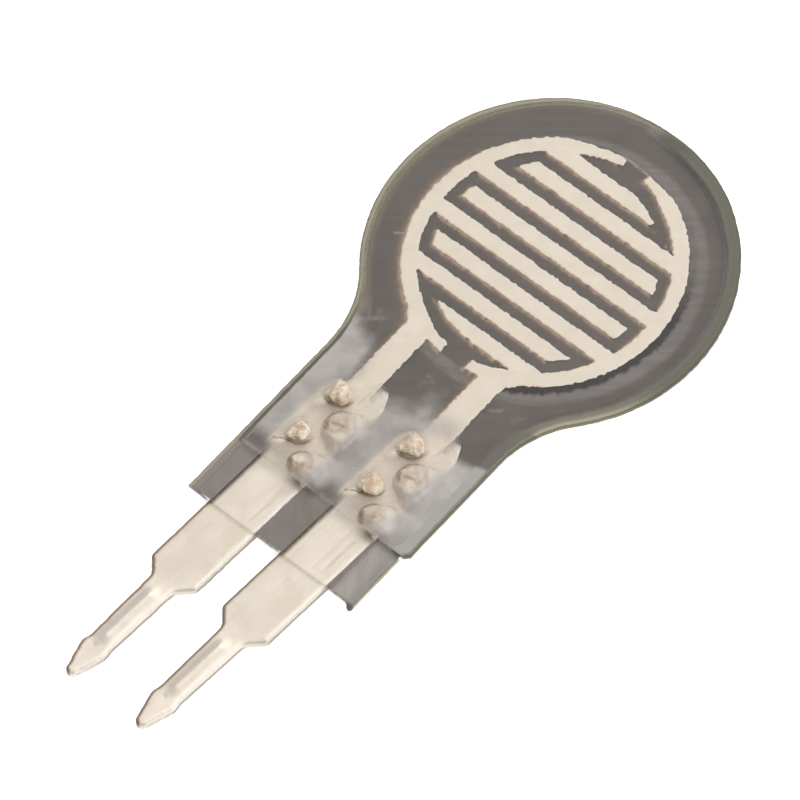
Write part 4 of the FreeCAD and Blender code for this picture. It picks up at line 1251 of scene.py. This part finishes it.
def build_contact(key, node, seed):
    cc = CONTACTS[key]
    loop_local = contact_outline(seed)
    loop_local = roughen(loop_local, 0.022 if key == "left" else 0.014, 2.8, seed)
    loop = place(loop_local, cc)

    def rib(u, v):
        y0, y1 = -7.78 + 0.24, -5.62 - 0.24
        vv = np.clip(v, y0 + 0.05, y1 - 0.10)
        rr = np.hypot(u, (v - vv) * 0.75)
        return 0.058 * np.exp(-(rr / 0.165) ** 2) * (v < -5.0)

    def groove(u, v):
        y0, y1 = -7.78 + 0.24, -5.62 - 0.24
        rr = np.hypot(u, v - np.clip(v, y0, y1))
        rho, r = (0.24**2 + 0.10**2) / (2 * 0.10), (0.24**2 + 0.10**2) / (2 * 0.10) - METAL_T
        z = np.sqrt(np.maximum(r**2 - rr**2, 0)) + (0.10 - rho) + METAL_T
        return np.where(rr < r, np.maximum(z, 0), 0)

    def top(x, y, d):
        u, v = unplace(x, y, cc)
        r = 0.075
        z = -(r - np.sqrt(np.maximum(r * r - (r - np.minimum(d, r)) ** 2, 0)))
        z = z + rib(u, v) * smooth(0.0, 0.10, d)
        # crease beside the right-hand claws
        z = z - 0.005 * np.exp(-((u - 0.40) / 0.065) ** 2) * smooth(-1.2, -1.5, v) * smooth(-2.9, -2.3, v)
        # small dimple at the end of the rib and a few dents
        z = z - 0.008 * np.exp(-(((u + 0.07) / 0.06) ** 2 + ((v + 7.90) / 0.06) ** 2))
        rng = np.random.default_rng(seed)
        for _ in range(9):
            du, dv, dr = rng.uniform(-0.6, 0.6), rng.uniform(-5.0, -3.2), rng.uniform(0.02, 0.05)
            z = z - 0.004 * np.exp(-((u - du) ** 2 + (v - dv) ** 2) / dr**2)
        und = 0.004 * fbm(u * 1.3, v * 1.3, seed) * smooth(0.0, 0.2, d)
        # keep flat where the films lie on it
        return np.where(v > -2.85, np.minimum(z + und, 0) - 0.0012, z + und)

    def bot(x, y, d):
        u, v = unplace(x, y, cc)
        r = 0.018
        return -METAL_T + (r - np.sqrt(np.maximum(r * r - (r - np.minimum(d, r)) ** 2, 0))) + groove(u, v)

    g = np.vstack([place(grid_pts(-0.85, 0.85, -5.2, 2.7, 0.11, seed), cc), place(grid_pts(-0.5, 0.5, -9.0, -5.2, 0.040, seed + 1), cc),
                   place(grid_pts(0.30, 0.50, -3.0, -1.1, 0.030, seed + 2), cc)])
    zero = lambda x, y, d: 0 * x

    def flank(x, y, d):
        return smooth(0.16, 0.06, d)

    # painted shade in the crease beside the right-hand claws, in the dimple at the end of the rib, and beside the rib
    def crevice_shade(x, y, d):
        u, v = unplace(x, y, cc)
        c = 0.16 * np.exp(-((u - 0.40) / 0.060) ** 2) * smooth(-1.2, -1.5, v) * smooth(-2.9, -2.3, v)
        c = c + 0.22 * np.exp(-(((u + 0.07) / 0.06) ** 2 + ((v + 7.90) / 0.06) ** 2))
        c = c + 0.07 * np.exp(-((u + 0.20) / 0.05) ** 2) * smooth(-5.5, -5.8, v) * smooth(-7.9, -7.6, v)
        return np.clip(c, 0, 1)

    def signed(x, y):
        return np.where(inside(x, y, loop), 1.0, -1.0) * seg_dist(x, y, loop)

    def facing(x, y):
        return signed(x + 0.04 * ACROSS[0], y + 0.04 * ACROSS[1]) - signed(x - 0.04 * ACROSS[0], y - 0.04 * ACROSS[1])

    # masks for the painted shade on edges facing against ACROSS and the painted highlight on the others
    def lefty(x, y, d):
        return smooth(0.015, 0.055, facing(x, y)) * smooth(0.17, 0.02, d)

    def righty(x, y, d):
        return smooth(0.015, 0.055, -facing(x, y)) * smooth(0.20, 0.10, d) * smooth(0.02, 0.06, d)

    ob = plate_mesh("contact_" + key + "_body", [loop], g, top, bot, rings=(0.006, 0.016, 0.030, 0.048, 0.075, 0.13),
                    attrs={"hot": zero, "flank": flank, "crevice_shade": crevice_shade, "claw": zero, "lefty": lefty, "righty": righty}, below={"lefty": 0.0, "righty": 0.0})
    shade(ob, 40)
    ob.data.materials.append(MAT_TIN)
    parts = [ob]
    for i, (side, foot, at) in enumerate(CLAWS):
        V, F = claw_mesh(side, foot, at)
        p = place(V[:, :2], cc)
        W = np.c_[p, V[:, 2]] * MM
        c = mesh_object("claw", W, F)
        mod = c.modifiers.new("s", "SUBSURF")
        mod.levels = 2
        bpy.context.view_layer.objects.active = c
        c.select_set(True)
        bpy.ops.object.modifier_apply(modifier="s")
        me = c.data
        n = len(me.vertices)
        co = np.empty(n * 3)
        me.vertices.foreach_get("co", co)
        co = co.reshape(-1, 3) / MM
        no = np.empty(n * 3)
        me.vertices.foreach_get("normal", no)
        no = no.reshape(-1, 3)
        mid = place(np.array([foot - side * 0.32, at]), cc)
        pp, qq = turned(co[:, 0], co[:, 1], mid[0], mid[1])
        a1, a2 = co[:, 0] + 0.8 * co[:, 2], co[:, 1] - 0.7 * co[:, 2]
        fold = 1 - np.abs(fbm(a1 * 3.2 + 3 * i, a2 * 3.2, seed + 90 + i, 2)) * 2.2       # sharp ridges
        fine = fbm(a1 * 10, a2 * 10, seed + 95 + i, 3)
        rr = np.hypot(pp + 0.10, qq - 0.12)
        layers = np.sin(2 * math.pi * rr / 0.135 + 1.2 * fine) * smooth(0.12, 0.25, rr) * smooth(0.25, -0.20, qq - 0.4 * pp)
        up = smooth(Z_TOP - 0.05, Z_TOP + 0.08, co[:, 2])
        amp = (0.036 * (fold - 0.55) + 0.018 * fine + 0.004 * layers - 0.010) * up
        co = co + no * amp[:, None]
        # some lumps are larger or flatter than others; the right-hand ones lie lower, under the film
        sp, sq, sz = SHAPE[(key, i)]
        k = smooth(Z_TOP - 0.02, Z_TOP + 0.10, co[:, 2])
        dp, dq = pp * (sp - 1) * k, qq * (sq - 1) * k
        co[:, 0] += dp * ACROSS[0] + dq * ALONG[0]
        co[:, 1] += dp * ACROSS[1] + dq * ALONG[1]
        co[:, 2] = np.where(co[:, 2] > Z_TOP, Z_TOP + (co[:, 2] - Z_TOP) * sz, co[:, 2])
        co[:, 2] = np.minimum(co[:, 2], 0.729)
        me.vertices.foreach_set("co", (co * MM).ravel())
        me.update()
        hot = smooth(0.25, 0.75, fbm(a1 * 2.3 + 9, a2 * 2.3 - 4, seed + 99 + i, 2) + (-0.10 if (key, i) == ("right", 1) else -0.60)) * up
        if (key, i) == ("right", 1):
            hot = np.maximum(hot, 0.95 * blob(pp - 0.02, qq - 0.02, 0.15, 0.20, 0.5) * up)
        if (key, i) == ("left", 0):
            hot = np.maximum(hot, 0.7 * blob(pp - 0.16, qq + 0.26, 0.13, 0.09, 0.6) * up)
        # painted shade in the claw's folds and on its stem below the film
        crv = smooth(0.35, -0.25, fold + 0.25 * layers) * (0.35 if (key, i) == ("right", 0) else 0.8) * up + (1 - up) * (0.50 if side < 0 else 0.10)
        for nm, val in (("hot", hot), ("crevice_shade", crv), ("flank", np.zeros(n)), ("claw", np.ones(n)), ("lefty", np.zeros(n)), ("righty", np.zeros(n))):
            a = me.attributes.new(nm, "FLOAT", "POINT")
            a.data.foreach_set("value", np.clip(val, 0, 1).astype(np.float32))
        me.materials.append(MAT_TIN)
        me.shade_smooth()
        c.select_set(False)
        parts.append(c)
    bpy.ops.object.select_all(action="DESELECT")
    for o in parts:
        o.select_set(True)
    bpy.context.view_layer.objects.active = ob
    bpy.ops.object.join()
    ob.name = "terminal_" + key
    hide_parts(node)
    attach(ob, "root")
    print(ob.name, len(ob.data.polygons))


# ------------------------------------------------------------------ camera, floor, light
def setup():
    cam = bpy.data.cameras.new("camera")
    cam.lens = 427.553
    cam.sensor_width = 36.0
    cam.sensor_fit = "HORIZONTAL"
    cam.clip_start, cam.clip_end = 0.01, 10
    ob = bpy.data.objects.new("camera", cam)
    R = Matrix(((0.750162, -0.541901, 0.378947), (0.656300, 0.680176, -0.326544), (-0.080796, 0.493664, 0.865892)))
    # make the axes exactly square
    q = R.to_quaternion().normalized()
    ob.matrix_world = Matrix.Translation(Vector((93.8571, -86.6270, 215.1757)) * MM) @ q.to_matrix().to_4x4()
    scene.collection.objects.link(ob)
    scene.camera = ob

    me = bpy.data.meshes.new("floor")
    s = 0.6
    z = -METAL_T * MM - 0.00001
    me.from_pydata([(-s, -s, z), (s, -s, z), (s, s, z), (-s, s, z)], [], [(0, 1, 2, 3)])
    fl = bpy.data.objects.new("floor", me)
    me.materials.append(floor_material())
    scene.collection.objects.link(fl)

    def area(name, pos, target, size, power, col=(1, 1, 1)):
        l = bpy.data.lights.new(name, "AREA")
        l.shape = "DISK"
        l.size = size
        l.energy = power
        l.color = col
        o = bpy.data.objects.new(name, l)
        p, t = Vector(pos), Vector(target)
        o.location = p
        o.rotation_euler = (t - p).to_track_quat("-Z", "Y").to_euler()
        scene.collection.objects.link(o)

    area("key", (-0.05, 0.20, 0.30), (0, -0.005, 0), 0.30, 0.64, (1.0, 0.985, 0.96))
    area("side", (0.30, 0.02, 0.20), (0, -0.005, 0), 0.28, 0.54)
    w = bpy.data.worlds.new("world")
    w.use_nodes = True
    bg = w.node_tree.nodes["Background"]
    bg.inputs[0].default_value = (1.0, 1.0, 1.0, 1)
    bg.inputs[1].default_value = 0.58
    scene.world = w


setup()
build_films()
build_electrodes()
build_ink()
build_spacer()
build_contact("left", "contact_left", 101)
build_contact("right", "contact_right", 202)
